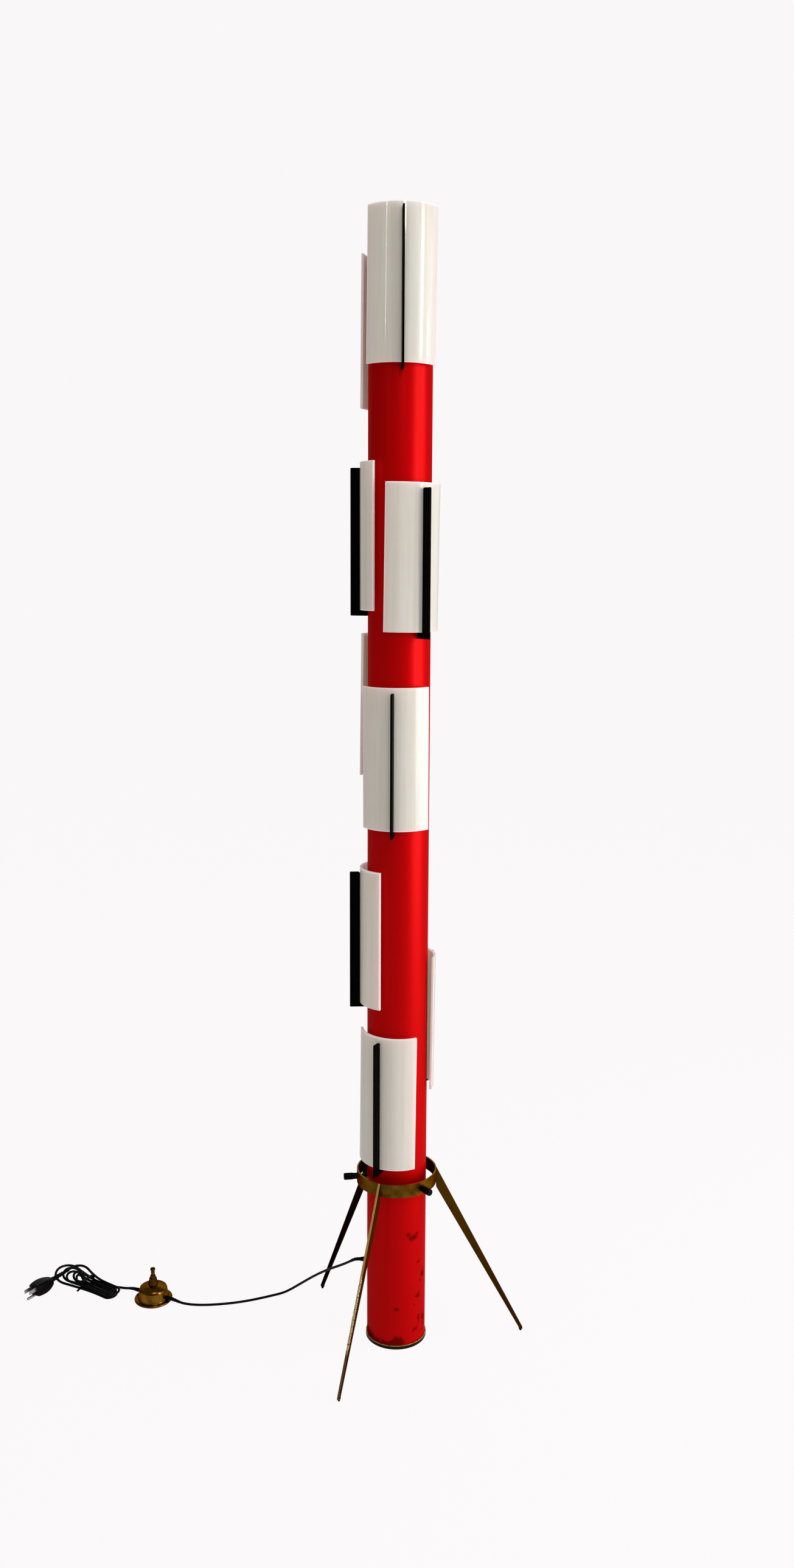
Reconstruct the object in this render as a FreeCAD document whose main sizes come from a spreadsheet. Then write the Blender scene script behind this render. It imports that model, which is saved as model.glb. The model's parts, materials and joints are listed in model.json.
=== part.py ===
import FreeCAD, Part
import math
import os
import re
import Sketcher
from FreeCAD import Placement, Rotation, Vector

# A floor lamp: a tall red column with nine lights, each behind a curved acrylic
# shade that hangs on a flat fin, standing in a brass collar with three legs.
# +Z is up, the floor is z = 0 and the column's axis is the z axis.
# A radial piece is drawn pointing along +X and turned about the column's axis.

doc = FreeCAD.newDocument("floor_lamp")
sheet = doc.addObject("Spreadsheet::Sheet", "Sizes")

SIZES = {
    # column and its two caps
    "column_radius": 50.0,
    "column_wall": 1.5,
    "foot_cap_floor": 2.5,
    "foot_cap_wall": 1.85,
    "foot_cap_height": 7.0,
    "foot_cap_chamfer": 0.8,
    "cap_clearance": 0.1,
    "top_cap_depth": 12.0,
    "top_cap_sheet": 1.5,
    "top_cap_recess": 3.0,
    "vent_radius": 3.5,
    "vent_circle_radius": 30.0,
    "cut_overrun": 4.0,
    # shades
    "shade_radius": 61.0,
    "shade_sheet": 4.0,
    "shade_height": 228.0,
    "shade_offset": 1.5,
    "shade_slot": 7.0,
    "shade_bridge": 9.2,
    "shade_over_column": 1.9,
    # fins
    "fin_sheet": 3.0,
    "fin_depth": 29.1,
    "fin_below_shade": 10.0,
    "fin_corner": 1.5,
    "rest_gap": 0.3,
    "notch_depth": 1.5,
    "notch_side_gap": 0.5,
    "tongue_height": 12.0,
    "tongue_inset": 8.0,
    "tongue_gap": 0.15,
    # windows and lamps inside the column
    "window_width": 42.0,
    "window_margin": 34.2,
    "window_corner": 10.0,
    "bracket_width": 18.0,
    "bracket_sheet": 1.2,
    "bracket_height": 24.0,
    "wall_gap": 0.2,
    "lamp_offset": 20.0,
    "holder_radius": 13.5,
    "holder_height": 25.0,
    "holder_bore": 8.6,
    "holder_floor": 6.0,
    "bulb_cap_radius": 8.3,
    "bulb_radius": 12.5,
    "bulb_length": 96.0,
    "bulb_shoulder": 4.0,
    # cord outlet of the column
    "outlet_height": 137.0,
    "outlet_hole_radius": 5.2,
    "outlet_flange_radius": 6.5,
    "outlet_flange": 1.8,
    "outlet_neck_radius": 5.0,
    "outlet_tip_radius": 3.4,
    "outlet_length": 10.0,
    "outlet_inside": 4.0,
    # collar and legs
    "collar_radius": 67.6,
    "collar_sheet": 2.4,
    "collar_bottom": 284.5,
    "collar_height": 22.5,
    "leg_sheet": 4.0,
    "leg_below_collar": 13.0,
    "leg_foot_reach": 216.0,
    "leg_foot_width": 6.5,
    "leg_heel": 3.0,
    "braze_gap": 0.05,
    "tip_height": 3.0,
    "tip_radius": 2.0,
    "tip_chamfer": 0.5,
    # thumbscrews
    "stud_radius": 3.0,
    "stud_fit": 0.06,
    "boss_radius": 5.2,
    "boss_height": 3.4,
    "knob_radius": 5.5,
    "knob_length": 19.0,
    "knob_chamfer": 0.8,
    "knob_socket": 12.0,
    "knob_neck_radius": 4.2,
    "knob_neck": 2.5,
    # foot switch
    "switch_x": -443.0,
    "switch_y": 87.0,
    "flange_radius": 34.0,
    "flange_rim": 3.2,
    "switch_base_height": 1.6,
    "switch_base_chamfer": 0.8,
    "flange_height": 5.5,
    "housing_radius": 24.0,
    "housing_shoulder": 24.5,
    "housing_top": 30.5,
    "dome_radius": 32.0,
    "housing_wall": 1.6,
    "bush_radius": 8.6,
    "bush_top_radius": 6.4,
    "bush_top": 43.5,
    "collar_top_radius": 4.8,
    "stem_collar_top": 48.5,
    "stem_radius": 3.4,
    "stem_fit": 0.08,
    "button_radius": 4.5,
    "button_bottom": 58.5,
    "button_top": 62.0,
    "plate_top": 20.0,
    "plate_thickness": 2.0,
    "plate_radius": 7.0,
    "spigot_radius": 5.5,
    "spring_inner": 4.2,
    "spring_outer": 6.0,
    "entry_height": 10.0,
    "entry_radius": 3.8,
    "entry_tip_radius": 3.0,
    "entry_length": 10.0,
    "cord_lead_in": 6.0,
    "cord_lead_out": 8.0,
    # cord, hank and its tie
    "cord_radius": 2.2,
    "strand_step": 5.2,
    "inner_strand": 5.2,
    "layer_rise": 5.0,
    "hank_right": 55.0,
    "hank_left": 46.0,
    "hank_lead": 7.0,
    "hank_turn_step": 2.0,
    "hank_short_turn": 34.0,
    "tie_width": 6.0,
    "tie_sheet": 1.0,
    "tie_gap": 0.3,
    "tie_corner": 2.4,
    "tie_tail": 16.0,
    "tie_tail_width": 4.0,
    "hank_x": -575.0,
    "hank_y": 128.0,
    "tail_rise": 7.9,
    "tail_turn": 22.0,
    "tail_side": 27.0,
    "neck_along": 49.4,
    # plug
    "plug_width": 33.0,
    "plug_thickness": 24.0,
    "plug_length": 38.0,
    "plug_back_width": 20.0,
    "plug_back_thickness": 16.0,
    "plug_round": 6.0,
    "neck_length": 44.0,
    "neck_back_radius": 5.6,
    "neck_tip_radius": 3.3,
    "neck_rib": 1.0,
    "blade_length": 17.0,
    "blade_width": 6.3,
    "blade_sheet": 1.5,
    "blade_spread": 12.7,
    "pin_radius": 2.4,
    "pin_drop": 11.9,
    "pin_length": 19.0,
}

for row, (alias, number) in enumerate(SIZES.items(), 1):
    sheet.set(f"A{row}", alias)
    sheet.set(f"B{row}", str(number))
    sheet.setAlias(f"B{row}", alias)
doc.recompute()

# Angles, counts and shares, as seen in the photograph
LIGHT_AZIMUTHS = [4.7, -153.0, -98.8, 38.0, -150.0, -6.8, -85.1, 132.0, -26.75]
LIGHT_HEIGHT_SHARES = [5.7517, 5.4875, 4.1294, 3.9856, 2.9612, 2.609, 1.301, 0.6514, 0.0996]
SHADE_TILTS = [-0.56, 0.51, -0.24, -0.8, 0.64, 0.19, 0.8, 0.8, -0.57]
SHADE_HALF_ANGLE = 60.0
LEG_DIRECTIONS = [-113.4, 4.4, 135.4]
LEG_REACH_SHARES = [1.0, 1.025, 0.925]
SCREW_AZIMUTHS = [-80.0, 40.0, 160.0]
VENT_COUNT = 8
OUTLET_DIRECTION = 180.0
ENTRY_DIRECTIONS = [-20.0, 155.0]
HANK_DIRECTION = 148.3
LAYER_STRANDS = 6
HANK_ENTRY_SHARES = (1.0, 0.22, 0.0)
ENTRY_PLACE_SHARES = (0.76, 1.15)
OPEN_SHARE = 1.6
TAIL_MIDWAY_SHARE = 0.6
GAP_SKIP_SHARE = 6.0
PLUG_ROLL = 8.0
PLUG_DROOP_SHARE = 0.028
NECK_RIBS = 6


def mm(alias):
    return float(sheet.get(alias))


def bound(text):
    """An expression with every size name turned into a reference to its cell"""
    return re.sub(r"[a-z][a-z_]*", lambda m: ("Sizes." if m.group() in SIZES else "") + m.group(), text)


def bind(item, field, text):
    item.setExpression(field, bound(text))


# Helpers that draw sketches and features

def new_body(name):
    body = doc.addObject("PartDesign::Body", name)
    body.Label = name
    return body


def plane(body, role):
    return next(f for f in body.Origin.OriginFeatures if f.Role == role)


def sketch_on(body, role, name, turn=0.0, lift="0"):
    sketch = body.newObject("Sketcher::SketchObject", body.Name + "_" + name)
    sketch.AttachmentSupport = [(plane(body, role), "")]
    sketch.MapMode = "FlatFace"
    sketch.AttachmentOffset = Placement(Vector(), Rotation(Vector(0, 1, 0), turn))
    if lift != "0":
        bind(sketch, "AttachmentOffset.Base.z", lift)
    return sketch


def number_of(sketch, text):
    return float(sketch.evalExpression(bound(text)))


def arc_edge(start, end, radius, side):
    """An arc of up to half a circle, counterclockwise; its centre lies left of the chord for side 1"""
    chord = end - start
    reach = math.sqrt(max(radius * radius - chord.Length ** 2 / 4, 0.0))
    normal = Vector(-chord.y, chord.x, 0).normalize()
    centre = start + chord * 0.5 + normal * (reach * side)
    first, last = (start, end) if side > 0 else (end, start)
    begin = math.atan2(first.y - centre.y, first.x - centre.x)
    finish = math.atan2(last.y - centre.y, last.x - centre.x)
    if finish < begin:
        finish += 2 * math.pi
    return Part.ArcOfCircle(Part.Circle(centre, Vector(0, 0, 1), radius), begin, finish)


def outline(sketch, points):
    """A closed outline. A point is (x, y), or (x, y, radius, side) where an arc arrives at it"""
    places = [Vector(number_of(sketch, p[0]), number_of(sketch, p[1]), 0) for p in points]
    first = sketch.GeometryCount
    starts = []
    for i, point in enumerate(points):
        start = places[i - 1]
        end = places[i]
        if len(point) == 2:
            sketch.addGeometry(Part.LineSegment(start, end), False)
            starts.append((1, 2))
            continue
        sketch.addGeometry(arc_edge(start, end, number_of(sketch, point[2]), point[3]), False)
        starts.append((1, 2) if point[3] > 0 else (2, 1))
        index = sketch.addConstraint(Sketcher.Constraint("Radius", first + i, number_of(sketch, point[2])))
        bind(sketch, f"Constraints[{index}]", point[2])
    for i, point in enumerate(points):
        after = (i + 1) % len(points)
        sketch.addConstraint(Sketcher.Constraint("Coincident", first + i, starts[i][1],
                                                 first + after, starts[after][0]))
        for kind, text in (("DistanceX", point[0]), ("DistanceY", point[1])):
            index = sketch.addConstraint(Sketcher.Constraint(kind, -1, 1, first + i, starts[i][1],
                                                             number_of(sketch, text)))
            bind(sketch, f"Constraints[{index}]", text)


def circle(sketch, x_text, y_text, radius_text):
    centre = Vector(number_of(sketch, x_text), number_of(sketch, y_text), 0)
    index = sketch.addGeometry(Part.Circle(centre, Vector(0, 0, 1), number_of(sketch, radius_text)), False)
    for kind, text in (("DistanceX", x_text), ("DistanceY", y_text)):
        number = sketch.addConstraint(Sketcher.Constraint(kind, -1, 1, index, 3, number_of(sketch, text)))
        bind(sketch, f"Constraints[{number}]", text)
    number = sketch.addConstraint(Sketcher.Constraint("Radius", index, number_of(sketch, radius_text)))
    bind(sketch, f"Constraints[{number}]", radius_text)


def rounded_box(sketch, low, high, corner):
    """A rounded rectangle between two corners given as pairs of expressions"""
    left, bottom = low
    right, top = high
    outline(sketch, [
        (f"{left} + {corner}", bottom),
        (f"{right} - {corner}", bottom),
        (right, f"{bottom} + {corner}", corner, 1),
        (right, f"{top} - {corner}"),
        (f"{right} - {corner}", top, corner, 1),
        (f"{left} + {corner}", top),
        (left, f"{top} - {corner}", corner, 1),
        (left, f"{bottom} + {corner}"),
        (f"{left} + {corner}", bottom, corner, 1),
    ][1:])


def box_outline(sketch, low, high):
    outline(sketch, [low, (high[0], low[1]), high, (low[0], high[1])])


def pad(body, sketch, length, both_ways=False):
    feature = body.newObject("PartDesign::Pad", sketch.Name + "_pad")
    feature.Profile = sketch
    feature.SideType = "Symmetric" if both_ways else "One side"
    bind(feature, "Length", length)
    sketch.Visibility = False
    return feature


def pocket(body, sketch, length, reverse=False, both_ways=False):
    """A cut that has to take material away, or it is reported"""
    before = body.Shape.Volume
    feature = body.newObject("PartDesign::Pocket", sketch.Name + "_cut")
    feature.Profile = sketch
    feature.SideType = "Symmetric" if both_ways else "One side"
    feature.Reversed = reverse
    bind(feature, "Length", length)
    body.recompute(True)
    if not body.Shape.Volume < before:
        raise RuntimeError(feature.Name + " cuts nothing")
    return feature


def revolved(name, points, axis="V_Axis"):
    """A body turned from half an outline: about z from (radius, z), or about x from (x, radius)"""
    body = new_body(name)
    sketch = sketch_on(body, "XZ_Plane", "outline")
    outline(sketch, points)
    turn = body.newObject("PartDesign::Revolution", name + "_turn")
    turn.Profile = sketch
    turn.ReferenceAxis = (sketch, [axis])
    turn.Angle = 360.0
    return body


def group(name, members):
    """Separate solids that are one kind of small piece, kept as one sub-part"""
    together = doc.addObject("Part::Compound", name)
    together.Label = name
    together.Links = members
    return together


def turned(direction, place=None):
    """Turned about the column's axis so that +X points in the given direction"""
    return Placement(Vector(*place) if place else Vector(), Rotation(Vector(0, 0, 1), direction))


PARTS = []


def keep(item):
    PARTS.append(item)
    return item


# Column, with a window and two slits for a fin behind each shade

STAND_TOP = "collar_bottom + collar_height"


def light_bottom(i):
    return f"({STAND_TOP} + shade_height * {LIGHT_HEIGHT_SHARES[i]})"


def fin_bottom(i):
    return f"({light_bottom(i)} - fin_below_shade)"


FIN_HEIGHT = "(fin_below_shade + shade_height - shade_bridge - rest_gap)"
COLUMN_TOP = f"({light_bottom(0)} + shade_height - shade_over_column)"


def column_tube():
    body = new_body("column_tube")
    ring = sketch_on(body, "XY_Plane", "ring", lift="foot_cap_floor")
    circle(ring, "0", "0", "column_radius")
    circle(ring, "0", "0", "column_radius - column_wall")
    pad(body, ring, f"{COLUMN_TOP} - foot_cap_floor")
    body.recompute(True)
    for i, azimuth in enumerate(LIGHT_AZIMUTHS):
        cuts = sketch_on(body, "YZ_Plane", f"light_{i + 1}", turn=azimuth - 90)
        bottom = f"{fin_bottom(i)} + window_margin"
        top = f"{fin_bottom(i)} + {FIN_HEIGHT} - window_margin"
        rounded_box(cuts, ("-window_width / 2", bottom), ("window_width / 2", top), "window_corner")
        for start in TONGUE_STARTS:
            low = f"{fin_bottom(i)} + {start} - tongue_gap"
            box_outline(cuts, ("-fin_sheet / 2 - tongue_gap", low),
                        ("fin_sheet / 2 + tongue_gap", f"{low} + tongue_height + 2 * tongue_gap"))
        pocket(body, cuts, "column_radius + cut_overrun", reverse=True)
    outlet = sketch_on(body, "YZ_Plane", "outlet", turn=OUTLET_DIRECTION)
    circle(outlet, "0", "outlet_height", "outlet_hole_radius")
    pocket(body, outlet, "column_radius + cut_overrun", reverse=True)
    return body


TONGUE_STARTS = ["tongue_inset", f"{FIN_HEIGHT} - tongue_inset - tongue_height"]


def foot_cap():
    outer = "(column_radius + cap_clearance + foot_cap_wall)"
    return revolved("foot_cap", [
        ("0", "0"),
        (f"{outer} - foot_cap_chamfer", "0"),
        (outer, "foot_cap_chamfer"),
        (outer, "foot_cap_height"),
        ("column_radius + cap_clearance", "foot_cap_height"),
        ("column_radius + cap_clearance", "foot_cap_floor"),
        ("0", "foot_cap_floor"),
    ])


def top_cap():
    outer = "(column_radius - column_wall - cap_clearance)"
    body = revolved("top_cap", [
        ("0", "-top_cap_sheet"),
        (f"{outer} - top_cap_sheet", "-top_cap_sheet"),
        (f"{outer} - top_cap_sheet", "-top_cap_depth"),
        (outer, "-top_cap_depth"),
        (outer, "-top_cap_sheet"),
        (f"{outer} - top_cap_sheet", "0"),
        ("0", "0"),
    ])
    body.recompute(True)
    hole = sketch_on(body, "XY_Plane", "vent")
    circle(hole, "vent_circle_radius", "0", "vent_radius")
    vent = pocket(body, hole, "top_cap_sheet + cut_overrun")
    ring = body.newObject("PartDesign::PolarPattern", "vents")
    ring.Originals = [vent]
    ring.Axis = (plane_axis(body), [""])
    ring.Angle = 360.0
    ring.Occurrences = VENT_COUNT
    body.Tip = ring
    body.Placement.Base.z = float(sheet.evalExpression(bound(f"{COLUMN_TOP} - top_cap_recess")))
    return body


def plane_axis(body):
    return next(f for f in body.Origin.OriginFeatures if f.Role == "Z_Axis")


# Fins and shades

NOTCH_START = "(shade_offset + shade_radius - shade_sheet - notch_side_gap)"
NOTCH_END = "(shade_offset + shade_radius + notch_side_gap)"


def fin(i):
    body = new_body(f"fin_{i + 1}")
    side = sketch_on(body, "XZ_Plane", "side")
    top = f"({FIN_HEIGHT} + notch_depth)"
    inner = "column_radius"
    tip = "(column_radius - column_wall - wall_gap)"
    edge = f"({inner} + fin_depth)"
    points = [(f"{edge} - fin_corner", "0"),
              (edge, "fin_corner", "fin_corner", 1),
              (edge, f"{top} - fin_corner"),
              (f"{edge} - fin_corner", top, "fin_corner", 1),
              (f"{NOTCH_END} + notch_depth", top),
              (NOTCH_END, FIN_HEIGHT),
              (NOTCH_START, FIN_HEIGHT),
              (NOTCH_START, top),
              (inner, top)]
    for start in reversed(TONGUE_STARTS):
        points += [(inner, f"{start} + tongue_height"),
                   (tip, f"{start} + tongue_height"),
                   (tip, start),
                   (inner, start)]
    points += [(inner, "0")]
    outline(side, points)
    pad(body, side, "fin_sheet", both_ways=True)
    body.Placement = turned(LIGHT_AZIMUTHS[i] - 90, (0, 0, number_of(side, fin_bottom(i))))
    return body


def shade(i):
    body = new_body(f"shade_{i + 1}")
    plan = sketch_on(body, "XY_Plane", "plan")
    inner = "(shade_radius - shade_sheet)"
    along = f"cos({SHADE_HALF_ANGLE})"
    across = f"sin({SHADE_HALF_ANGLE})"
    outline(plan, [
        (f"{inner} * {along}", f"-{inner} * {across}"),
        (f"shade_radius * {along}", f"-shade_radius * {across}"),
        ("shade_radius", "0", "shade_radius", 1),
        (f"shade_radius * {along}", f"shade_radius * {across}", "shade_radius", 1),
        (f"{inner} * {along}", f"{inner} * {across}"),
        (inner, "0", inner, -1),
        (f"{inner} * {along}", f"-{inner} * {across}", inner, -1),
    ][1:])
    pad(body, plan, "shade_height")
    body.recompute(True)
    slot = sketch_on(body, "YZ_Plane", "slot")
    box_outline(slot, ("-shade_slot / 2", "-cut_overrun"),
                ("shade_slot / 2", "shade_height - shade_bridge"))
    pocket(body, slot, "shade_radius + cut_overrun", reverse=True)
    azimuth = LIGHT_AZIMUTHS[i]
    bottom = number_of(plan, light_bottom(i))
    middle = (mm("shade_height") - mm("shade_bridge")) / 2
    tilt = Placement(Vector(), Rotation(Vector(1, 0, 0), SHADE_TILTS[i]), Vector(0, 0, middle))
    body.Placement = turned(azimuth - 90, (0, 0, bottom)).multiply(
        Placement(Vector(mm("shade_offset"), 0, 0), Rotation())).multiply(tilt)
    return body


# Lamps inside the column

BRACKET_FACE = ("(sqrt((column_radius - column_wall) ^ 2 - (bracket_width / 2) ^ 2) - wall_gap)")
SHELF_TOP = "(window_margin - bracket_sheet)"


def lamp_frame(i, lift=0.0):
    bottom = float(sheet.evalExpression(bound(fin_bottom(i))))
    return turned(LIGHT_AZIMUTHS[i] - 90, (0, 0, bottom + lift))


def bracket(i):
    body = new_body(f"bracket_{i + 1}")
    side = sketch_on(body, "XZ_Plane", "side")
    outline(side, [
        (BRACKET_FACE, f"{SHELF_TOP} - bracket_height"),
        (BRACKET_FACE, SHELF_TOP),
        ("lamp_offset - holder_radius", SHELF_TOP),
        ("lamp_offset - holder_radius", f"{SHELF_TOP} - bracket_sheet"),
        (f"{BRACKET_FACE} - bracket_sheet", f"{SHELF_TOP} - bracket_sheet"),
        (f"{BRACKET_FACE} - bracket_sheet", f"{SHELF_TOP} - bracket_height"),
    ])
    pad(body, side, "bracket_width", both_ways=True)
    body.Placement = lamp_frame(i)
    return body


def stood_on_shelf(body, i):
    lift = float(sheet.evalExpression(bound(SHELF_TOP)))
    axis = Placement(Vector(mm("lamp_offset"), 0, 0), Rotation())
    body.Placement = lamp_frame(i, lift).multiply(axis)
    return body


def holder(i):
    body = revolved(f"holder_{i + 1}", [
        ("0", "0"),
        ("holder_radius", "0"),
        ("holder_radius", "holder_height - bulb_shoulder"),
        ("holder_radius - bulb_shoulder / 2", "holder_height"),
        ("holder_bore", "holder_height"),
        ("holder_bore", "holder_floor"),
        ("0", "holder_floor"),
    ])
    return stood_on_shelf(body, i)


def bulb(i):
    base = "(holder_floor + rest_gap)"
    glass = "(holder_height + rest_gap)"
    body = revolved(f"bulb_{i + 1}", [
        ("0", base),
        ("bulb_cap_radius", base),
        ("bulb_cap_radius", glass),
        ("bulb_radius", f"{glass} + bulb_shoulder"),
        ("bulb_radius", f"{glass} + bulb_length - bulb_radius"),
        ("0", f"{glass} + bulb_length", "bulb_radius", 1),
    ])
    return stood_on_shelf(body, i)


# Cord outlet low on the column's left side

def cord_outlet():
    face = "column_radius + rest_gap"
    body = revolved("cord_outlet", [
        ("column_radius - outlet_inside", "0"),
        (f"{face} + outlet_length", "0"),
        (f"{face} + outlet_length", "outlet_tip_radius"),
        (f"{face} + outlet_flange", "outlet_neck_radius"),
        (f"{face} + outlet_flange", "outlet_flange_radius"),
        (face, "outlet_flange_radius"),
        (face, "outlet_neck_radius"),
        ("column_radius - outlet_inside", "outlet_neck_radius"),
    ], axis="H_Axis")
    body.Placement = turned(OUTLET_DIRECTION, (0, 0, mm("outlet_height")))
    return body


# Brass collar, bosses, legs and their tips

def collar_ring():
    body = new_body("collar_ring")
    ring = sketch_on(body, "XY_Plane", "ring", lift="collar_bottom")
    circle(ring, "0", "0", "collar_radius")
    circle(ring, "0", "0", "collar_radius - collar_sheet")
    pad(body, ring, "collar_height")
    body.recompute(True)
    hole = sketch_on(body, "YZ_Plane", "screw", turn=SCREW_AZIMUTHS[0] - 90)
    circle(hole, "0", SCREW_HEIGHT, "stud_radius + stud_fit")
    cut = pocket(body, hole, "collar_radius + cut_overrun", reverse=True)
    around = body.newObject("PartDesign::PolarPattern", "screw_holes")
    around.Originals = [cut]
    around.Axis = (plane_axis(body), [""])
    around.Angle = 360.0
    around.Occurrences = len(SCREW_AZIMUTHS)
    body.Tip = around
    return body


SCREW_HEIGHT = "collar_bottom + collar_height / 2"


def screw_frame(i):
    height = float(sheet.evalExpression(bound(SCREW_HEIGHT)))
    return turned(SCREW_AZIMUTHS[i] - 90, (0, 0, height))


def boss(i):
    body = new_body(f"boss_{i + 1}")
    disc = sketch_on(body, "YZ_Plane", "disc", lift="collar_radius - boss_radius / 2")
    circle(disc, "0", "0", "boss_radius")
    circle(disc, "0", "0", "stud_radius + stud_fit")
    pad(body, disc, "boss_height + boss_radius / 2")
    body.recompute(True)
    seat = sketch_on(body, "XY_Plane", "seat")
    circle(seat, "0", "0", "collar_radius + braze_gap")
    pocket(body, seat, "2 * boss_radius + cut_overrun", both_ways=True)
    body.Placement = screw_frame(i)
    return body


def leg_reach(i):
    return f"leg_foot_reach * {LEG_REACH_SHARES[i]}"


def leg(i):
    body = new_body(f"leg_{i + 1}")
    side = sketch_on(body, "XZ_Plane", "side")
    inner = "(collar_radius + braze_gap)"
    foot = "(tip_height + braze_gap)"
    outline(side, [
        (inner, "collar_bottom - leg_below_collar"),
        (f"{leg_reach(i)} - leg_foot_width", f"{foot} + leg_heel"),
        (f"{leg_reach(i)} - leg_foot_width", foot),
        (leg_reach(i), foot),
        (leg_reach(i), f"{foot} + leg_heel"),
        (inner, STAND_TOP),
    ])
    pad(body, side, "leg_sheet", both_ways=True)
    body.Placement = turned(LEG_DIRECTIONS[i])
    return body


def leg_tip(i):
    body = revolved(f"tip_{i + 1}", [
        ("0", "0"),
        ("tip_radius - tip_chamfer", "0"),
        ("tip_radius", "tip_chamfer"),
        ("tip_radius", "tip_height"),
        ("0", "tip_height"),
    ])
    middle = float(sheet.evalExpression(bound(f"{leg_reach(i)} - leg_foot_width / 2")))
    body.Placement = turned(LEG_DIRECTIONS[i]).multiply(Placement(Vector(middle, 0, 0), Rotation()))
    return body


# Thumbscrews

def stud(i):
    end = "(collar_radius + boss_height + rest_gap + knob_neck + knob_socket)"
    body = revolved(f"thumbscrew_stud_{i + 1}", [
        ("column_radius + rest_gap", "0"),
        (end, "0"),
        (end, "stud_radius"),
        ("column_radius + rest_gap + stud_radius / 3", "stud_radius"),
        ("column_radius + rest_gap", "stud_radius * 2 / 3"),
    ], axis="H_Axis")
    body.Placement = screw_frame(i)
    return body


def knob(i):
    start = "(collar_radius + boss_height + rest_gap)"
    body = revolved(f"thumbscrew_knob_{i + 1}", [
        (start, "stud_radius + stud_fit"),
        (start, "knob_neck_radius"),
        (f"{start} + knob_neck", "knob_neck_radius"),
        (f"{start} + knob_neck", "knob_radius - knob_chamfer"),
        (f"{start} + knob_neck + knob_chamfer", "knob_radius"),
        (f"{start} + knob_length - knob_chamfer", "knob_radius"),
        (f"{start} + knob_length", "knob_radius - knob_chamfer"),
        (f"{start} + knob_length", "0"),
        (f"{start} + knob_neck + knob_socket + rest_gap", "0"),
        (f"{start} + knob_neck + knob_socket + rest_gap", "stud_radius + stud_fit"),
    ], axis="H_Axis")
    body.Placement = screw_frame(i)
    return body


# Foot switch: a turned brass housing with a tall stem button

def at_switch(body):
    body.Placement = Placement(Vector(mm("switch_x"), mm("switch_y"), 0), Rotation())
    return body


def switch_base():
    radius = "(flange_radius - flange_rim)"
    return at_switch(revolved("switch_base", [
        ("0", "0"),
        (f"{radius} - switch_base_chamfer", "0"),
        (radius, "switch_base_chamfer"),
        (radius, "switch_base_height"),
        ("0", "switch_base_height"),
    ]))


def switch_housing():
    bottom = "(switch_base_height + cap_clearance)"
    half = f"((flange_height - {bottom}) / 2)"
    inner = "(housing_radius - housing_wall)"
    hole = "(spigot_radius + cap_clearance)"
    return at_switch(revolved("switch_housing", [
        (inner, bottom),
        (f"flange_radius - {half}", bottom),
        ("flange_radius", f"{bottom} + {half}", half, 1),
        (f"flange_radius - {half}", "flange_height", half, 1),
        ("housing_radius + housing_wall", "flange_height"),
        ("housing_radius", "flange_height + housing_wall", "housing_wall", -1),
        ("housing_radius", "housing_shoulder"),
        (hole, "housing_top", "dome_radius", 1),
        (hole, "housing_top - housing_wall"),
        (inner, "housing_shoulder - housing_wall", "dome_radius", -1),
    ]))


def switch_bush():
    bore = "(stem_radius + stem_fit)"
    seat = "(housing_top + braze_gap)"
    return at_switch(revolved("switch_bush", [
        (bore, "housing_top - 2 * housing_wall"),
        ("spigot_radius", "housing_top - 2 * housing_wall"),
        ("spigot_radius", seat),
        ("bush_radius", seat),
        ("bush_radius", f"{seat} + housing_wall"),
        ("bush_top_radius", "bush_top"),
        ("collar_top_radius", "bush_top + housing_wall / 2"),
        ("collar_top_radius", "stem_collar_top - housing_wall / 2"),
        ("stem_radius + housing_wall / 2", "stem_collar_top"),
        (bore, "stem_collar_top"),
    ]))


def switch_plunger():
    return at_switch(revolved("switch_plunger", [
        ("0", "plate_top - plate_thickness"),
        ("plate_radius", "plate_top - plate_thickness"),
        ("plate_radius", "plate_top"),
        ("stem_radius", "plate_top"),
        ("stem_radius", "button_bottom - housing_wall"),
        ("button_radius", "button_bottom"),
        ("button_radius", "button_top - housing_wall"),
        ("button_radius - housing_wall", "button_top", "housing_wall", 1),
        ("0", "button_top"),
    ]))


def switch_spring():
    low = "switch_base_height + rest_gap"
    high = "plate_top - plate_thickness - rest_gap"
    return at_switch(revolved("switch_spring", [
        ("spring_inner", low),
        ("spring_outer", low),
        ("spring_outer", high),
        ("spring_inner", high),
    ]))


def cord_entry(i):
    start = "(housing_radius + rest_gap)"
    body = revolved(f"cord_entry_{i + 1}", [
        (start, "0"),
        (f"{start} + entry_length", "0"),
        (f"{start} + entry_length", "entry_tip_radius"),
        (f"{start} + entry_length / 3", "entry_radius"),
        (start, "entry_radius"),
    ], axis="H_Axis")
    place = (mm("switch_x"), mm("switch_y"), mm("entry_height"))
    body.Placement = turned(ENTRY_DIRECTIONS[i], place)
    return body


# Cord: straight runs joined by tangent arcs

def rounded_path(points):
    """A wire through a route, and the radii of its arcs"""
    edges = []
    radii = []
    at = points[0]
    for before, corner, after in zip(points, points[1:], points[2:]):
        into = corner - before
        out = after - corner
        turn = into.getAngle(out)
        reach = 0.45 * min(into.Length, out.Length)
        start = corner - into.normalize() * reach
        end = corner + out.normalize() * reach
        radius = reach / math.tan(turn / 2)
        depth = radius / math.cos(turn / 2) - radius
        inwards = (start + end) * 0.5 - corner
        middle = corner + inwards.normalize() * depth
        edges.append(Part.LineSegment(at, start).toShape())
        edges.append(Part.Arc(start, middle, end).toShape())
        radii.append(radius)
        at = end
    edges.append(Part.LineSegment(at, points[-1]).toShape())
    return Part.Wire(edges), radii


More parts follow.
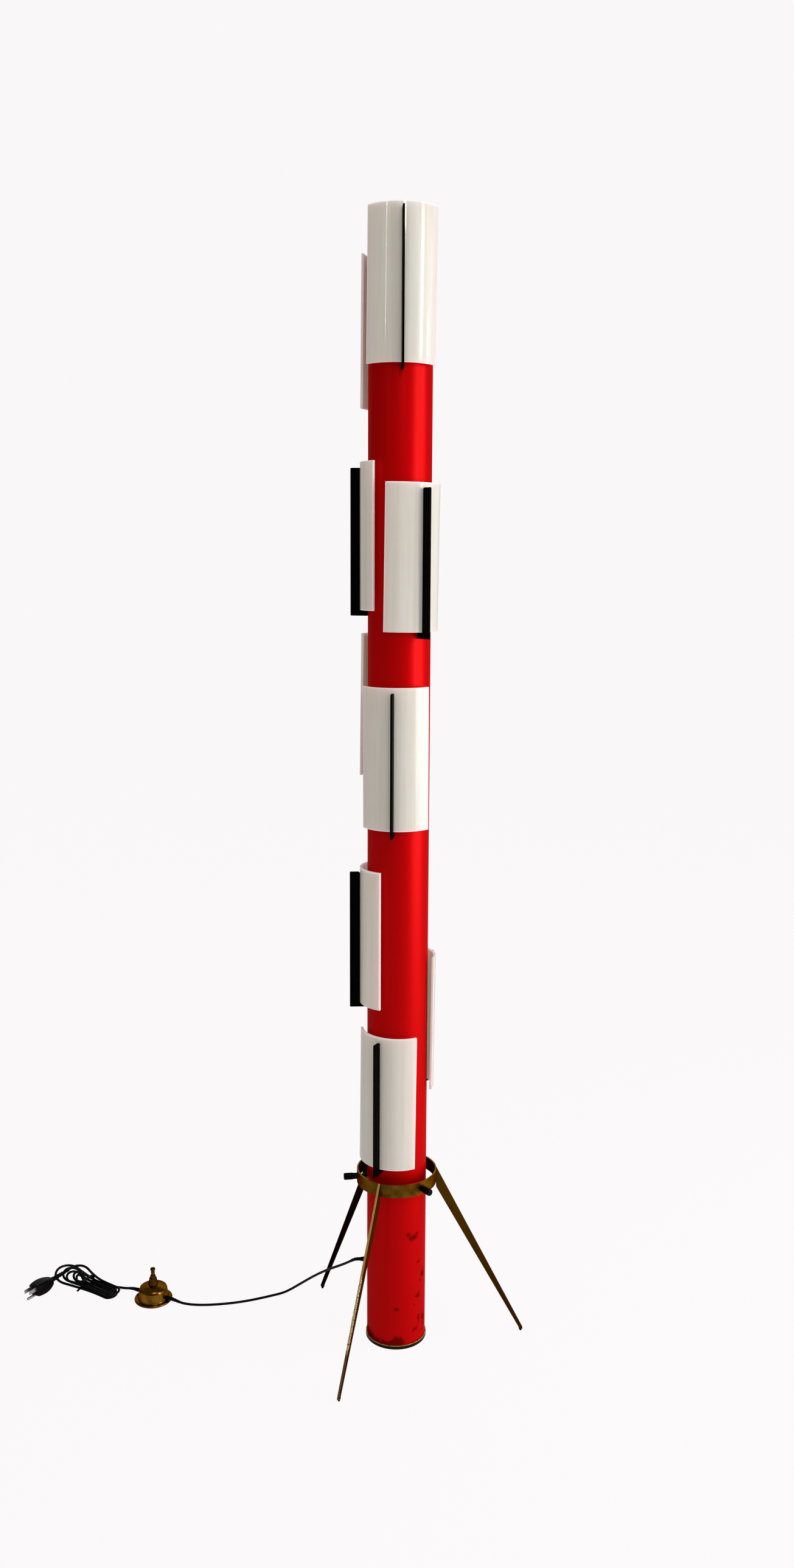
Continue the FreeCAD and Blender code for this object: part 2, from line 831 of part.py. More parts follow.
def tube_along(name, path, start, direction):
    """A round tube along a wire, its volume compared with section times length"""
    radius = mm("cord_radius")
    section = Part.Wire([Part.Circle(start, direction, radius).toShape()])
    solid = path.makePipeShell([section], True, False)
    expected = math.pi * radius * radius * path.Length
    if solid.Volume < 0:
        solid.reverse()
    print(name, "length", round(path.Length, 1), "volume share", round(solid.Volume / expected, 4))
    item = doc.addObject("Part::Feature", name)
    item.Label = name
    item.Shape = solid
    return item


def cord_along(name, points):
    path, radii = rounded_path(points)
    print(name, "radii", [round(r, 1) for r in radii])
    return tube_along(name, path, points[0], points[1] - points[0])


def entry_end(i, beyond=0.0):
    """The place on a switch entry's axis where its cord starts, or a little beyond it"""
    angle = math.radians(ENTRY_DIRECTIONS[i])
    reach = mm("housing_radius") + mm("rest_gap") + mm("entry_length") + beyond
    return Vector(mm("switch_x") + reach * math.cos(angle),
                  mm("switch_y") + reach * math.sin(angle),
                  mm("entry_height"))


def cord_to_switch():
    outlet = Vector(-mm("column_radius") - mm("rest_gap") - mm("outlet_length"), 0, mm("outlet_height"))
    lead = mm("outlet_length") * 0.7
    points = [outlet, outlet + Vector(-lead, 0, 0)]
    points += [Vector(*p) for p in CORD_TO_SWITCH_ROUTE]
    points += [entry_end(0, mm("cord_lead_in")), entry_end(0)]
    return cord_along("cord_to_switch", points)


# Route points in millimetres, chosen by hand along the cord in the photograph
CORD_TO_SWITCH_ROUTE = [
    (-73.5, 4.2, 133.4),
    (-83.5, 12.5, 123.5),
    (-98.0, 25.5, 110.0),
    (-123.0, 47.0, 89.0),
    (-150.0, 70.5, 62.5),
    (-177.0, 91.0, 34.5),
    (-196.5, 103.5, 15.5),
    (-211.0, 109.5, 5.2),
    (-225.5, 107.3, 2.3),
    (-244.0, 98.0, 2.3),
    (-271.0, 86.0, 2.3),
    (-301.0, 76.5, 2.3),
    (-334.0, 70.2, 2.3),
    (-362.0, 68.0, 2.6),
    (-384.0, 67.6, 5.0),
    (-396.0, 69.7, 8.2),
]

CORD_TO_HANK_ROUTE = [
    (-490.5, 110.6, 7.4),
    (-503.0, 115.6, 4.4),
    (-513.0, 119.1, 3.6),
]


def cord_to_hank():
    points = [entry_end(1), entry_end(1, mm("cord_lead_out"))]
    points += [Vector(*p) for p in CORD_TO_HANK_ROUTE]
    place, heading = hank_route()[0]
    points += [place - heading * mm("hank_lead"), place]
    return cord_along("cord_to_hank", points)


# Hank: loops that wind inwards on the floor, climb along a run and wind out again

def hank_frame():
    return turned(HANK_DIRECTION, (mm("hank_x"), mm("hank_y"), 0))


def hank_route():
    """Places and headings along the hank, in the lamp's frame"""
    low = mm("tie_sheet") + mm("tie_gap") + mm("cord_radius") + mm("braze_gap")
    high = low + mm("layer_rise")
    step = mm("strand_step") / 2
    right = -mm("hank_right")
    left = mm("hank_left")
    ahead = Vector(1, 0, 0)
    back = Vector(-1, 0, 0)
    near = Vector(0, 1, 0)
    far = Vector(0, -1, 0)
    strands = [mm("inner_strand") + step * k for k in range(LAYER_STRANDS - 1, -1, -1)]
    strands += [mm("inner_strand") + step * k for k in range(1, LAYER_STRANDS)]
    heights = [(low, low)] * (LAYER_STRANDS - 1) + [(low, high)] + [(high, high)] * (LAYER_STRANDS - 1)
    entry = Vector(right * ENTRY_PLACE_SHARES[0], -strands[0] * ENTRY_PLACE_SHARES[1], low)
    route = [(entry, Vector(*HANK_ENTRY_SHARES).normalize())]
    for j, offset in enumerate(strands):
        side = -1 if j % 2 == 0 else 1
        heading = ahead if j % 2 == 0 else back
        from_height, to_height = heights[j]
        middle = Vector(0, side * offset, (from_height + to_height) / 2)
        slope = Vector(0, 0, (to_height - from_height) / (right - left) * heading.x * -2)
        route.append((middle, (heading + slope).normalize()))
        if j == len(strands) - 1:
            break
        next_offset = strands[j + 1]
        outward = (offset - mm("inner_strand")) / (strands[0] - mm("inner_strand"))
        u = right - mm("hank_turn_step") * outward
        a = offset
        b = next_offset
        if heading is ahead:
            u = left - mm("hank_short_turn") * (1 - outward)
            a = offset * (1 + (OPEN_SHARE - 1) * outward)
            b = next_offset * (1 + (OPEN_SHARE - 1) * outward)
        route.append((Vector(u, side * a, to_height), heading))
        apex = Vector(u + heading.x * (a + b) / 2, side * (a - b) / 2, to_height)
        route.append((apex, near if side < 0 else far))
        route.append((Vector(u, -side * b, to_height), heading * -1))
    top = high + mm("tail_rise")
    bend = mm("tail_turn")
    midway = high + mm("tail_rise") * TAIL_MIDWAY_SHARE
    turn_place = Vector(mm("neck_along") - bend, -mm("tail_side"), midway)
    route.append((turn_place, Vector(1, 0, 0.1).normalize()))
    route.append((Vector(mm("neck_along"), bend - mm("tail_side"), top),
                  (near - Vector(0, 0, PLUG_DROOP_SHARE)).normalize()))
    frame = hank_frame()
    turn = frame.Rotation
    return [(frame.multVec(place), turn.multVec(heading)) for place, heading in route]


def biarc(start, start_way, end, end_way):
    """Two tangent arcs between two places with given headings"""
    span = end - start
    both = start_way + end_way
    spare = 2 * (1 - start_way.dot(end_way))
    if spare < 1e-9:
        if span.getAngle(start_way) < 1e-6:
            return [Part.LineSegment(start, end).toShape()]
        reach = span.dot(span) / (4 * span.dot(end_way))
    else:
        along = span.dot(both)
        reach = (-along + math.sqrt(along * along + 2 * spare / 2 * span.dot(span))) / spare
    joint = (start + end + (start_way - end_way) * reach) * 0.5
    return [arc_from(start, start_way, joint), arc_from(end, end_way * -1, joint, back=True)]


def arc_from(start, way, end, back=False):
    """The arc that leaves start along way and reaches end"""
    chord = end - start
    if chord.getAngle(way) < 1e-6:
        ends = (end, start) if back else (start, end)
        return Part.LineSegment(*ends).toShape()
    half = chord.getAngle(way)
    normal = (chord.cross(way)).cross(chord).normalize()
    middle = (start + end) * 0.5 + normal * (chord.Length / 2 * math.tan(half / 2))
    return Part.Arc(end, middle, start).toShape() if back else Part.Arc(start, middle, end).toShape()


def least_self_gap(path):
    """The least distance between parts of the path that are far apart along it"""
    skip = mm("cord_radius") * GAP_SKIP_SHARE
    count = int(path.Length / mm("cord_radius"))
    points = path.discretize(Number=count)
    apart = int(skip / path.Length * count) + 1
    least = path.Length
    for i, first in enumerate(points):
        for second in points[i + apart:]:
            least = min(least, first.distanceToPoint(second))
    return least - 2 * mm("cord_radius")


def cord_hank():
    route = hank_route()
    edges = []
    for (start, way), (end, end_way) in zip(route, route[1:]):
        edges += biarc(start, way, end, end_way)
    last, heading = route[-1]
    edges.append(Part.LineSegment(last, last + heading * mm("cord_radius") * 2).toShape())
    path = Part.Wire(edges)
    radii = [e.Curve.Radius for e in edges if isinstance(e.Curve, Part.Circle)]
    print("cord_hank least radius", round(min(radii), 2),
          "least self-gap", round(least_self_gap(path), 2))
    return tube_along("cord_hank", path, route[0][0], route[0][1])


def hank_end():
    place, heading = hank_route()[-1]
    return place + heading * mm("cord_radius") * 2, heading


def cord_tie():
    body = new_body("cord_tie")
    band = sketch_on(body, "YZ_Plane", "band")
    outer_strand = f"(inner_strand + strand_step / 2 * {LAYER_STRANDS - 1} + cord_radius + tie_gap)"
    inner_strand_side = f"(inner_strand + strand_step / 2 * {LAYER_STRANDS - 2} + cord_radius + tie_gap)"
    bottom = "(tie_sheet + braze_gap)"
    top = f"({bottom} + 2 * tie_gap + 2 * cord_radius + layer_rise)"
    rounded_box(band, (f"-{outer_strand}", bottom), (inner_strand_side, top), "tie_corner")
    rounded_box(band, (f"-{outer_strand} - tie_sheet", "braze_gap"),
                (f"{inner_strand_side} + tie_sheet", f"{top} + tie_sheet"), "(tie_corner + tie_sheet)")
    pad(body, band, "tie_width", both_ways=True)
    body.recompute(True)
    tail = sketch_on(body, "YZ_Plane", "tail")
    start = f"({inner_strand_side} + tie_sheet / 2)"
    outline(tail, [
        (start, f"{bottom} + tie_corner"),
        (f"{start} + tie_tail", f"{bottom} - tie_sheet / 2"),
        (f"{start} + tie_tail", f"{bottom} + tie_sheet / 2"),
        (start, f"{bottom} + tie_corner + tie_sheet"),
    ])
    pad(body, tail, "tie_tail_width", both_ways=True)
    body.Placement = hank_frame()
    return body


# Moulded plug: a ribbed neck, a lofted body and three prongs

def plug_frame():
    place, heading = hank_end()
    facing = Rotation(Vector(0, 0, 1), math.degrees(math.atan2(heading.y, heading.x)))
    droop = Rotation(Vector(0, 1, 0), math.degrees(-math.asin(heading.z)))
    roll = Rotation(Vector(1, 0, 0), PLUG_ROLL)
    return Placement(place, facing.multiply(droop).multiply(roll))


def plug_body():
    name = "plug_body"
    body = new_body(name)
    previous = None
    sections = []
    # Each section's place along the plug, width and thickness
    for number, (along, width, thickness, corner) in enumerate([
            ("neck_length", "plug_back_width", "plug_back_thickness", "plug_round"),
            ("neck_length + plug_length * 0.4", "plug_width", "plug_thickness", "plug_round"),
            ("neck_length + plug_length", "plug_width * 0.94", "plug_thickness * 0.94", "plug_round")]):
        section = sketch_on(body, "YZ_Plane", f"section_{number}", lift=along)
        rounded_box(section, (f"-{width} / 2", f"-{thickness} / 2"), (f"{width} / 2", f"{thickness} / 2"),
                    corner)
        sections.append(section)
    loft = body.newObject("PartDesign::AdditiveLoft", name + "_loft")
    loft.Profile = sections[0]
    loft.Sections = sections[1:]
    loft.Ruled = False
    body.recompute(True)
    neck = sketch_on(body, "XZ_Plane", "neck")
    pitch = f"(neck_length / {NECK_RIBS + 2})"
    slope = "(neck_back_radius - neck_tip_radius)"
    back = "neck_length + cord_radius"
    points = [("0", "0"), (back, "0"), (back, "neck_back_radius")]
    for k in range(NECK_RIBS, 0, -1):
        share = round((k + 0.5) / (NECK_RIBS + 2), 4)
        start = f"{pitch} * {k}"
        surface = f"neck_tip_radius + {slope} * {share}"
        points += [(f"{start} + {pitch} * 0.6", f"{surface}"),
                   (f"{start} + {pitch} * 0.6", f"{surface} - neck_rib"),
                   (f"{start}", f"{surface} - neck_rib"),
                   (f"{start}", f"{surface}")]
    points += [("0", "neck_tip_radius")]
    outline(neck, points)
    turn = body.newObject("PartDesign::Revolution", name + "_neck")
    turn.Profile = neck
    turn.ReferenceAxis = (neck, ["H_Axis"])
    turn.Angle = 360.0
    body.Placement = plug_frame()
    return body


def prong_plate(side):
    plate = doc.addObject("Part::Box", "blade_left" if side < 0 else "blade_right")
    bind(plate, "Length", "blade_length")
    bind(plate, "Width", "blade_sheet")
    bind(plate, "Height", "blade_width")
    doc.recompute()
    along = mm("neck_length") + mm("plug_length")
    across = side * mm("blade_spread") / 2 - mm("blade_sheet") / 2
    up = mm("pin_drop") / 3 - mm("blade_width") / 2
    plate.Placement = plug_frame().multiply(Placement(Vector(along, across, up), Rotation()))
    return plate


def ground_pin():
    body = revolved("ground_pin", [
        ("0", "0"),
        ("pin_radius", "0"),
        ("pin_radius", "pin_length - pin_radius"),
        ("0", "pin_length", "pin_radius", 1),
    ])
    along = mm("neck_length") + mm("plug_length")
    down = mm("pin_drop") / 3 - mm("pin_drop")
    local = Placement(Vector(along, 0, down), Rotation(Vector(0, 1, 0), 90))
    body.Placement = plug_frame().multiply(local)
    return body


# The whole lamp

LIGHTS = range(len(LIGHT_AZIMUTHS))
LEGS = range(len(LEG_DIRECTIONS))
SCREWS = range(len(SCREW_AZIMUTHS))

keep(column_tube())
keep(foot_cap())
keep(top_cap())
for light in LIGHTS:
    keep(fin(light))
    keep(shade(light))
    keep(bulb(light))
keep(group("holder_brackets", [bracket(light) for light in LIGHTS]))
keep(group("lamp_holders", [holder(light) for light in LIGHTS]))
keep(cord_outlet())
keep(collar_ring())
keep(group("thumbscrew_bosses", [boss(screw) for screw in SCREWS]))
for number in LEGS:
    keep(leg(number))
keep(group("leg_tips", [leg_tip(number) for number in LEGS]))
for screw in SCREWS:
    keep(stud(screw))
    keep(knob(screw))
keep(switch_base())
keep(switch_housing())
keep(switch_bush())
keep(switch_plunger())
keep(switch_spring())
keep(group("switch_cord_entries", [cord_entry(0), cord_entry(1)]))
keep(cord_to_switch())
keep(cord_to_hank())
keep(cord_hank())
keep(cord_tie())
keep(plug_body())
keep(group("plug_blades", [prong_plate(-1), prong_plate(1), ground_pin()]))

doc.recompute()

faults = [item.Name for item in doc.Objects if "Invalid" in item.State or "Error" in item.State]
faults += [item.Label for item in PARTS if item.Shape.isNull() or not item.Shape.isValid()]
if faults:
    raise RuntimeError("failed: " + ", ".join(faults))

os.makedirs("parts", exist_ok=True)
for item in PARTS:
    item.Shape.exportStep(f"parts/{item.Label}.step")
print(len(PARTS), "sub-parts")
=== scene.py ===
import json
import math
import bmesh
import bpy
import numpy
from mathutils import Matrix, Vector


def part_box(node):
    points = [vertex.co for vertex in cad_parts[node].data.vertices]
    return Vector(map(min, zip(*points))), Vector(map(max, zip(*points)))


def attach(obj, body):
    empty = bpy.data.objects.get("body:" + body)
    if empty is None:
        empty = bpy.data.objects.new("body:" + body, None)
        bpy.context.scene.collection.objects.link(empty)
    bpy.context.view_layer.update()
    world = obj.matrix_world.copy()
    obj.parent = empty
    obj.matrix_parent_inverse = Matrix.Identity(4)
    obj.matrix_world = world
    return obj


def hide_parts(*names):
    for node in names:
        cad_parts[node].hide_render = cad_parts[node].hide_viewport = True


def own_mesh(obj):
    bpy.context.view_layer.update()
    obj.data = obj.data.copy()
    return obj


# A red column lamp with nine opal shades, its brass stand, foot switch and cord.
# Lengths are in metres, +Z is up and the column's axis is the z axis.

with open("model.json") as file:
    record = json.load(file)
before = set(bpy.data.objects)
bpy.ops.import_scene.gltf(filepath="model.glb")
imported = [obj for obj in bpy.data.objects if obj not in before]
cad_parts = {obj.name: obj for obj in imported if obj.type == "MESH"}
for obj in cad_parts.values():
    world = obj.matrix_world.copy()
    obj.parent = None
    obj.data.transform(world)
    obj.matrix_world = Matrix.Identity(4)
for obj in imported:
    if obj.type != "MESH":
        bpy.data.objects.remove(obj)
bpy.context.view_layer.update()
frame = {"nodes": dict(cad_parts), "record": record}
record = frame["record"]

MM = 0.001
COLUMN_RADIUS = 0.05
LIGHT_AZIMUTHS = (4.7, -153.0, -98.8, 38.0, -150.0, -6.8, -85.1, 132.0, -26.75)
SHEET_RADIUS = 61.0 * MM
SHEET_HALF_WIDTH = SHEET_RADIUS * math.radians(60)
SHEET_HEIGHT = 228.5 * MM
SLOT_REACH = 7.0 * MM
SLOT_CLOSED_HALF = 1.75 * MM
LEG_DIRECTIONS = (-113.4, 4.4, 135.4)
SCREW_AZIMUTHS = (-170.0, -50.0, 70.0)
STAND_TOP = 307.0 * MM
LEG_START = 67.65 * MM
LEG_REACH = 216.0 * MM
LEG_FOOT = 6.05 * MM
BRAZE_HEIGHTS = (178.0 * MM, 66.0 * MM)
KNOB_LENGTH = 19.0 * MM
KNOB_NECK = 2.5 * MM
KNOB_START = 71.3 * MM
HOUSING_SPAN = (20.0 * MM, 26.0 * MM)
HOUSING_SWELL = (0.04, 0.115)
FLANGE_TOP = 3.5 * MM
HOUSING_RADIUS = 24.0 * MM
DOME_RISE = 6.0 * MM
NECK_RADIUS = 4.2 * MM
NECK_WIDENED = 5.3 * MM
PLUG_SLIMMED = 0.87
SWITCH_PLACE = Vector((-443.0, 87.0, 10.0)) * MM
NEAR = 0.3 * MM
SHOULDER_ROUND = 3.2 * MM
BEAD_SUNK = 0.25 * MM
BEAD_FLATTENED = 0.42
DRUM_FACING = 0.985
WALL_FACING = 0.9
SURFACE_FACING = 0.7
DRUM_LEAST_AREA = 2 * MM * MM
SHEET_LEAST_AREA = 20 * MM * MM
MERGE_DISTANCE = 2e-6
FLAT_WITHIN = math.radians(0.4)
BODY_OF = {node: body for body, nodes in record["behaviour"]["bodies"].items() for node in nodes}


def add_object(name, data):
    thing = bpy.data.objects.new(name, data)
    bpy.context.scene.collection.objects.link(thing)
    return thing


def level_direction(degrees):
    """A level direction, counted from +X towards +Y"""
    angle = math.radians(degrees)
    return Vector((math.cos(angle), math.sin(angle), 0))


def spoke_to(place, centre=(0, 0)):
    """The level line from an upright axis to a place"""
    return Vector((place.x - centre[0], place.y - centre[1], 0))


# Camera, at the photograph's viewpoint

PHOTO_WIDTH = 1305
FOCAL_PIXELS = 2200
CAMERA_PLACE = (0.06613, -2.13717, 1.33207)
CAMERA_YAW = math.radians(-1.837)
CAMERA_PITCH = math.radians(9.648)
CAMERA_ROLL = math.radians(0.273)


def photo_camera():
    """Looks along +Y, a little to the left and down, with a slight roll"""
    data = bpy.data.cameras.new("photo_camera")
    data.sensor_fit = "HORIZONTAL"
    data.sensor_width = 36
    data.lens = FOCAL_PIXELS / PHOTO_WIDTH * data.sensor_width
    data.clip_start = 0.05
    camera = add_object("photo_camera", data)
    ahead = Vector((math.sin(CAMERA_YAW) * math.cos(CAMERA_PITCH),
                    math.cos(CAMERA_YAW) * math.cos(CAMERA_PITCH),
                    -math.sin(CAMERA_PITCH)))
    level = Vector((math.cos(CAMERA_YAW), -math.sin(CAMERA_YAW), 0))
    upright = level.cross(ahead)
    right = level * math.cos(CAMERA_ROLL) + upright * math.sin(CAMERA_ROLL)
    up = upright * math.cos(CAMERA_ROLL) - level * math.sin(CAMERA_ROLL)
    turn = Matrix((right, up, -ahead)).transposed().to_4x4()
    camera.matrix_world = Matrix.Translation(CAMERA_PLACE) @ turn
    bpy.context.scene.camera = camera


# Shader helpers

class Value:
    """A shader socket that can stand in a Python expression"""

    def __init__(self, shader, socket):
        self.shader = shader
        self.socket = socket

    def math(self, operation, *others):
        return self.shader.math(operation, self, *others)

    def __add__(self, other):
        return self.math("ADD", other)

    __radd__ = __add__

    def __sub__(self, other):
        return self.math("SUBTRACT", other)

    def __rsub__(self, other):
        return self.shader.math("SUBTRACT", other, self)

    def __mul__(self, other):
        return self.math("MULTIPLY", other)

    __rmul__ = __mul__

    def __truediv__(self, other):
        return self.math("DIVIDE", other)

    def __pow__(self, other):
        return self.math("POWER", other)

    def between(self, low, high):
        """0 at low and 1 at high, with a smooth step"""
        return self.shader.out("ShaderNodeMapRange", {"interpolation_type": "SMOOTHSTEP"},
                               {"Value": self, "From Min": low, "From Max": high})


class Shader:
    """Builds one material"""

    def __init__(self, name):
        self.material = bpy.data.materials.new(name)
        self.material.use_nodes = True
        self.tree = self.material.node_tree
        self.tree.nodes.clear()
        self.output = self.tree.nodes.new("ShaderNodeOutputMaterial")

    def node(self, kind, settings=None, values=None):
        made = self.tree.nodes.new(kind)
        for name, setting in (settings or {}).items():
            if name == "stops":
                self.set_stops(made.color_ramp, setting)
            else:
                setattr(made, name, setting)
        for key, value in (values or {}).items():
            socket = made.inputs[key]
            if isinstance(value, Value):
                self.tree.links.new(value.socket, socket)
            else:
                socket.default_value = value
        return made

    def set_stops(self, ramp, stops):
        while len(ramp.elements) < len(stops):
            ramp.elements.new(0.5)
        for element, (place, colour) in zip(ramp.elements, stops):
            element.position = place
            element.color = (*colour, 1)

    def out(self, kind, settings=None, values=None, output=0):
        return Value(self, self.node(kind, settings, values).outputs[output])

    def math(self, operation, *values):
        return self.out("ShaderNodeMath", {"operation": operation}, dict(enumerate(values)))

    def place(self):
        """The place on the object, in metres"""
        return self.out("ShaderNodeTexCoord", output=3)

    def axes(self, vector):
        split = self.node("ShaderNodeSeparateXYZ", values={0: vector})
        return [Value(self, socket) for socket in split.outputs]

    def stretched(self, vector, scale):
        return self.out("ShaderNodeMapping", values={"Vector": vector, "Scale": scale})

    def noise(self, vector, scale, detail=3.0, roughness=0.5):
        return self.out("ShaderNodeTexNoise", values={"Vector": vector, "Scale": scale,
                                                      "Detail": detail, "Roughness": roughness})

    def cells(self, vector, scale):
        return self.out("ShaderNodeTexVoronoi", values={"Vector": vector, "Scale": scale})

    def mix(self, factor, first, second):
        """A colour between two colours"""
        values = {0: factor}
        for key, colour in ((6, first), (7, second)):
            values[key] = colour if isinstance(colour, Value) else (*colour, 1)
        made = self.node("ShaderNodeMix", {"data_type": "RGBA"}, values)
        return Value(self, made.outputs[2])

    def bump(self, height, strength, distance):
        return self.out("ShaderNodeBump", values={"Height": height, "Strength": strength,
                                                  "Distance": distance})

    def surface(self, **values):
        """The finished surface; names are those of the Principled shader's sockets"""
        sockets = {}
        for name, value in values.items():
            if isinstance(value, tuple) and len(value) == 3 and "radius" not in name:
                value = (*value, 1)
            sockets[name.replace("_", " ").title().replace("Ior", "IOR")] = value
        shader = self.out("ShaderNodeBsdfPrincipled", values=sockets)
        self.tree.links.new(shader.socket, self.output.inputs[0])
        return self.material


def begin(name):
    """A new material, and the place on the object that it varies with"""
    shader = Shader(name)
    return shader, shader.place()


# Materials

# Paint chips: degrees from the front, then height, half width and half height in millimetres
PAINT_CHIPS = [
    (36.0, 200.0, 13.0, 6.0), (27.0, 206.0, 5.0, 4.5),
    (46.0, 205.0, 4.0, 3.0), (51.0, 152.7, 5.5, 3.6),
    (65.0, 127.2, 6.5, 8.0), (56.0, 117.0, 2.4, 3.4),
    (51.0, 90.4, 7.5, 6.6), (3.3, 73.0, 5.4, 3.2),
    (41.0, 76.0, 2.4, 2.4), (52.0, 48.0, 3.0, 12.0),
    (68.0, 40.0, 5.0, 17.0), (43.0, 30.7, 6.2, 5.2),
    (118.0, 160.0, 7.0, 5.0), (150.0, 96.0, 4.0, 9.0),
    (-140.0, 62.0, 9.0, 6.0), (160.0, 34.0, 10.0, 7.0),
]


def red_lacquer():
    """Gloss red paint with rubbed chips near the foot and a rusty edge above the foot cap"""
    s, place = begin("red_lacquer")
    x, y, z = s.axes(place)
    around = s.math("ARCTAN2", x, y * -1.0) * COLUMN_RADIUS
    coarse = s.noise(place, 115, 3, 0.6) - 0.5
    ragged = s.noise(place, 340, 4, 0.7) - 0.5
    breakup = coarse * 2.6 + ragged * 2.2
    worn = None
    for degrees, height, half_width, half_height in PAINT_CHIPS:
        across = (around - math.radians(degrees) * COLUMN_RADIUS) / (half_width * MM)
        along = (z - height * MM) / (half_height * MM)
        reach = (across * across + along * along) ** 0.5
        spot = 1 - (reach + breakup).between(0.10, 1.35)
        worn = spot if worn is None else worn.math("MAXIMUM", spot)
    hump = 1 - ((around + coarse * 16 * MM - 4 * MM).math("ABSOLUTE")).between(4 * MM, 16 * MM)
    left_rise = 1 - around.between(-62 * MM, -30 * MM)
    band_top = 16 * MM + hump * 8 * MM + left_rise * 9 * MM + coarse * 14 * MM + ragged * 12 * MM
    band_side = 1 - (around + ragged * 12 * MM).between(12 * MM, 22 * MM)
    edge = (1 - (z - band_top).between(-6.5 * MM, 3.0 * MM)) * band_side
    rim = 1 - (z + ragged * 3 * MM).between(7.6 * MM, 9.4 * MM)
    worn = worn.math("MAXIMUM", edge).math("MAXIMUM", rim * 0.6)
    clouds = s.noise(place, 14, 2)
    red = s.mix(clouds, (0.60, 0.0004, 0.0012), (0.65, 0.0006, 0.0014))
    depth = (ragged * 1.6 + coarse + 0.45).between(0.0, 1.0)
    bare = s.mix(depth, (0.15, 0.0016, 0.0006), (0.030, 0.0030, 0.0010))
    colour = s.mix(worn * 0.85, red, bare)
    rust = s.noise(place, 1100, 2).between(0.60, 0.72) * worn
    colour = s.mix(rust * 0.35, colour, (0.24, 0.045, 0.008))
    skin = s.noise(place, 220, 1) * 0.6 + s.noise(place, 30, 1)
    height = skin * 0.22 - worn * 1.2
    return s.surface(
        base_color=colour,
        metallic=(1 - worn) * 0.55,
        roughness=0.48 + clouds * 0.04 + worn * 0.35,
        specular_ior_level=0.0,
        specular_tint=(1.0, 0.02, 0.02),
        coat_weight=(1 - worn) * 0.09,
        coat_roughness=0.30,
        normal=s.bump(height, 0.14, 0.0006))


def opal_acrylic():
    """Glossy warm white sheet with a painted glow, tinted pink near its sides and ends as a painted
    reflection of the red column, and painted lighter along its rims
    """
    s, place = begin("opal_acrylic")
    across, up, _ = s.axes(s.out("ShaderNodeUVMap", {"uv_map": "sheet"}))
    to_side = SHEET_HALF_WIDTH - across.math("ABSOLUTE")
    to_end = (SHEET_HEIGHT - up).math("MINIMUM", up)
    clouds = s.noise(place, 18, 3)
    drawn = s.noise(s.stretched(place, (1, 1, 0.03)), 150, 3)
    dust = s.noise(place, 850, 2, 0.6).between(0.63, 0.72)
    scuffs = s.noise(s.stretched(place, (1, 1, 0.08)), 500, 2).between(0.62, 0.68)
    # Painted reflection and glow: pink near the sides and ends where the red column reflects, and
    # lighter along the rims
    at_sides = 1 - to_side.between(0.0, 20 * MM)
    painted_pink_reflection = at_sides.math("MAXIMUM", 0.7 - to_end.between(0.0, 12 * MM) * 0.7)
    rim = 1 - to_side.math("MINIMUM", to_end).between(0.6 * MM, 2.2 * MM)
    streaks = (clouds * 0.25 + drawn * 0.75).between(0.30, 0.70)
    colour = s.mix(streaks, (0.79, 0.725, 0.615), (0.86, 0.81, 0.72))
    colour = s.mix(painted_pink_reflection * 0.55, colour, (0.93, 0.80, 0.77))
    colour = s.mix(rim * 0.8, colour, (0.96, 0.88, 0.86))
    colour = s.mix(dust * 0.08, colour, (0.42, 0.36, 0.28))
    height = s.noise(s.stretched(place, (1, 1, 0.22)), 24, 1) + drawn * 0.12
    return s.surface(
        base_color=colour,
        roughness=0.07 + clouds * 0.03 + scuffs * 0.05,
        subsurface_weight=0.6,
        subsurface_radius=(0.020, 0.017, 0.015),
        subsurface_scale=1.0,
        specular_ior_level=0.5,
        # Painted glow: a faint glow all over the sheet, stronger along its rims
        emission_color=s.mix(rim, (0.060, 0.051, 0.038), (0.19, 0.15, 0.14)),
        emission_strength=1.0,
        normal=s.bump(height, 0.13, 0.0014))


def acrylic_edge():
    """The sawn and flame-polished edge of the sheet, painted lighter and pink as a glow and a
    reflection of the red column
    """
    s, place = begin("acrylic_edge")
    saw = s.noise(s.stretched(place, (1, 1, 0.2)), 600, 3)
    colour = s.mix(saw, (0.92, 0.80, 0.77), (0.96, 0.89, 0.86))
    return s.surface(
        base_color=colour,
        # Painted glow of the edge
        emission_color=(0.07, 0.055, 0.05),
        emission_strength=1.0,
        roughness=0.22 + saw * 0.2,
        subsurface_weight=0.5,
        subsurface_radius=(0.012, 0.008, 0.007),
        subsurface_scale=1.0,
        normal=s.bump(saw, 0.2, 0.0002))


def aged_brass(name, dark, bright, patina, roughness, hammer=0.0):
    """Brass with darker tarnish in broad patches and fine speckles"""
    s, place = begin(name)
    patches = s.noise(place, 38, 5, 0.6)
    speckle = s.noise(place, 520, 3, 0.65)
    tarnish = patches.between(0.38, 0.68) * 0.7 + speckle.between(0.5, 0.75) * 0.45
    colour = s.mix(tarnish.math("MINIMUM", 1.0), bright, dark)
    spots = s.noise(place, 210, 4, 0.7).between(0.60, 0.70)
    colour = s.mix(spots * patina, colour, (0.030, 0.014, 0.004))
    grain = s.noise(s.stretched(place, (1, 1, 6)), 420, 2)
    dents = s.cells(place, 260)
    height = grain * 0.3 + speckle * 0.25 + dents * hammer
    return s.surface(
        base_color=colour,
        metallic=1 - spots * patina * 0.6,
        specular_tint=tuple(min(1.0, 1.7 * c) for c in bright),
        roughness=roughness + tarnish * 0.14 + spots * 0.25,
        normal=s.bump(height, 0.25 + 0.5 * hammer, 0.0004))


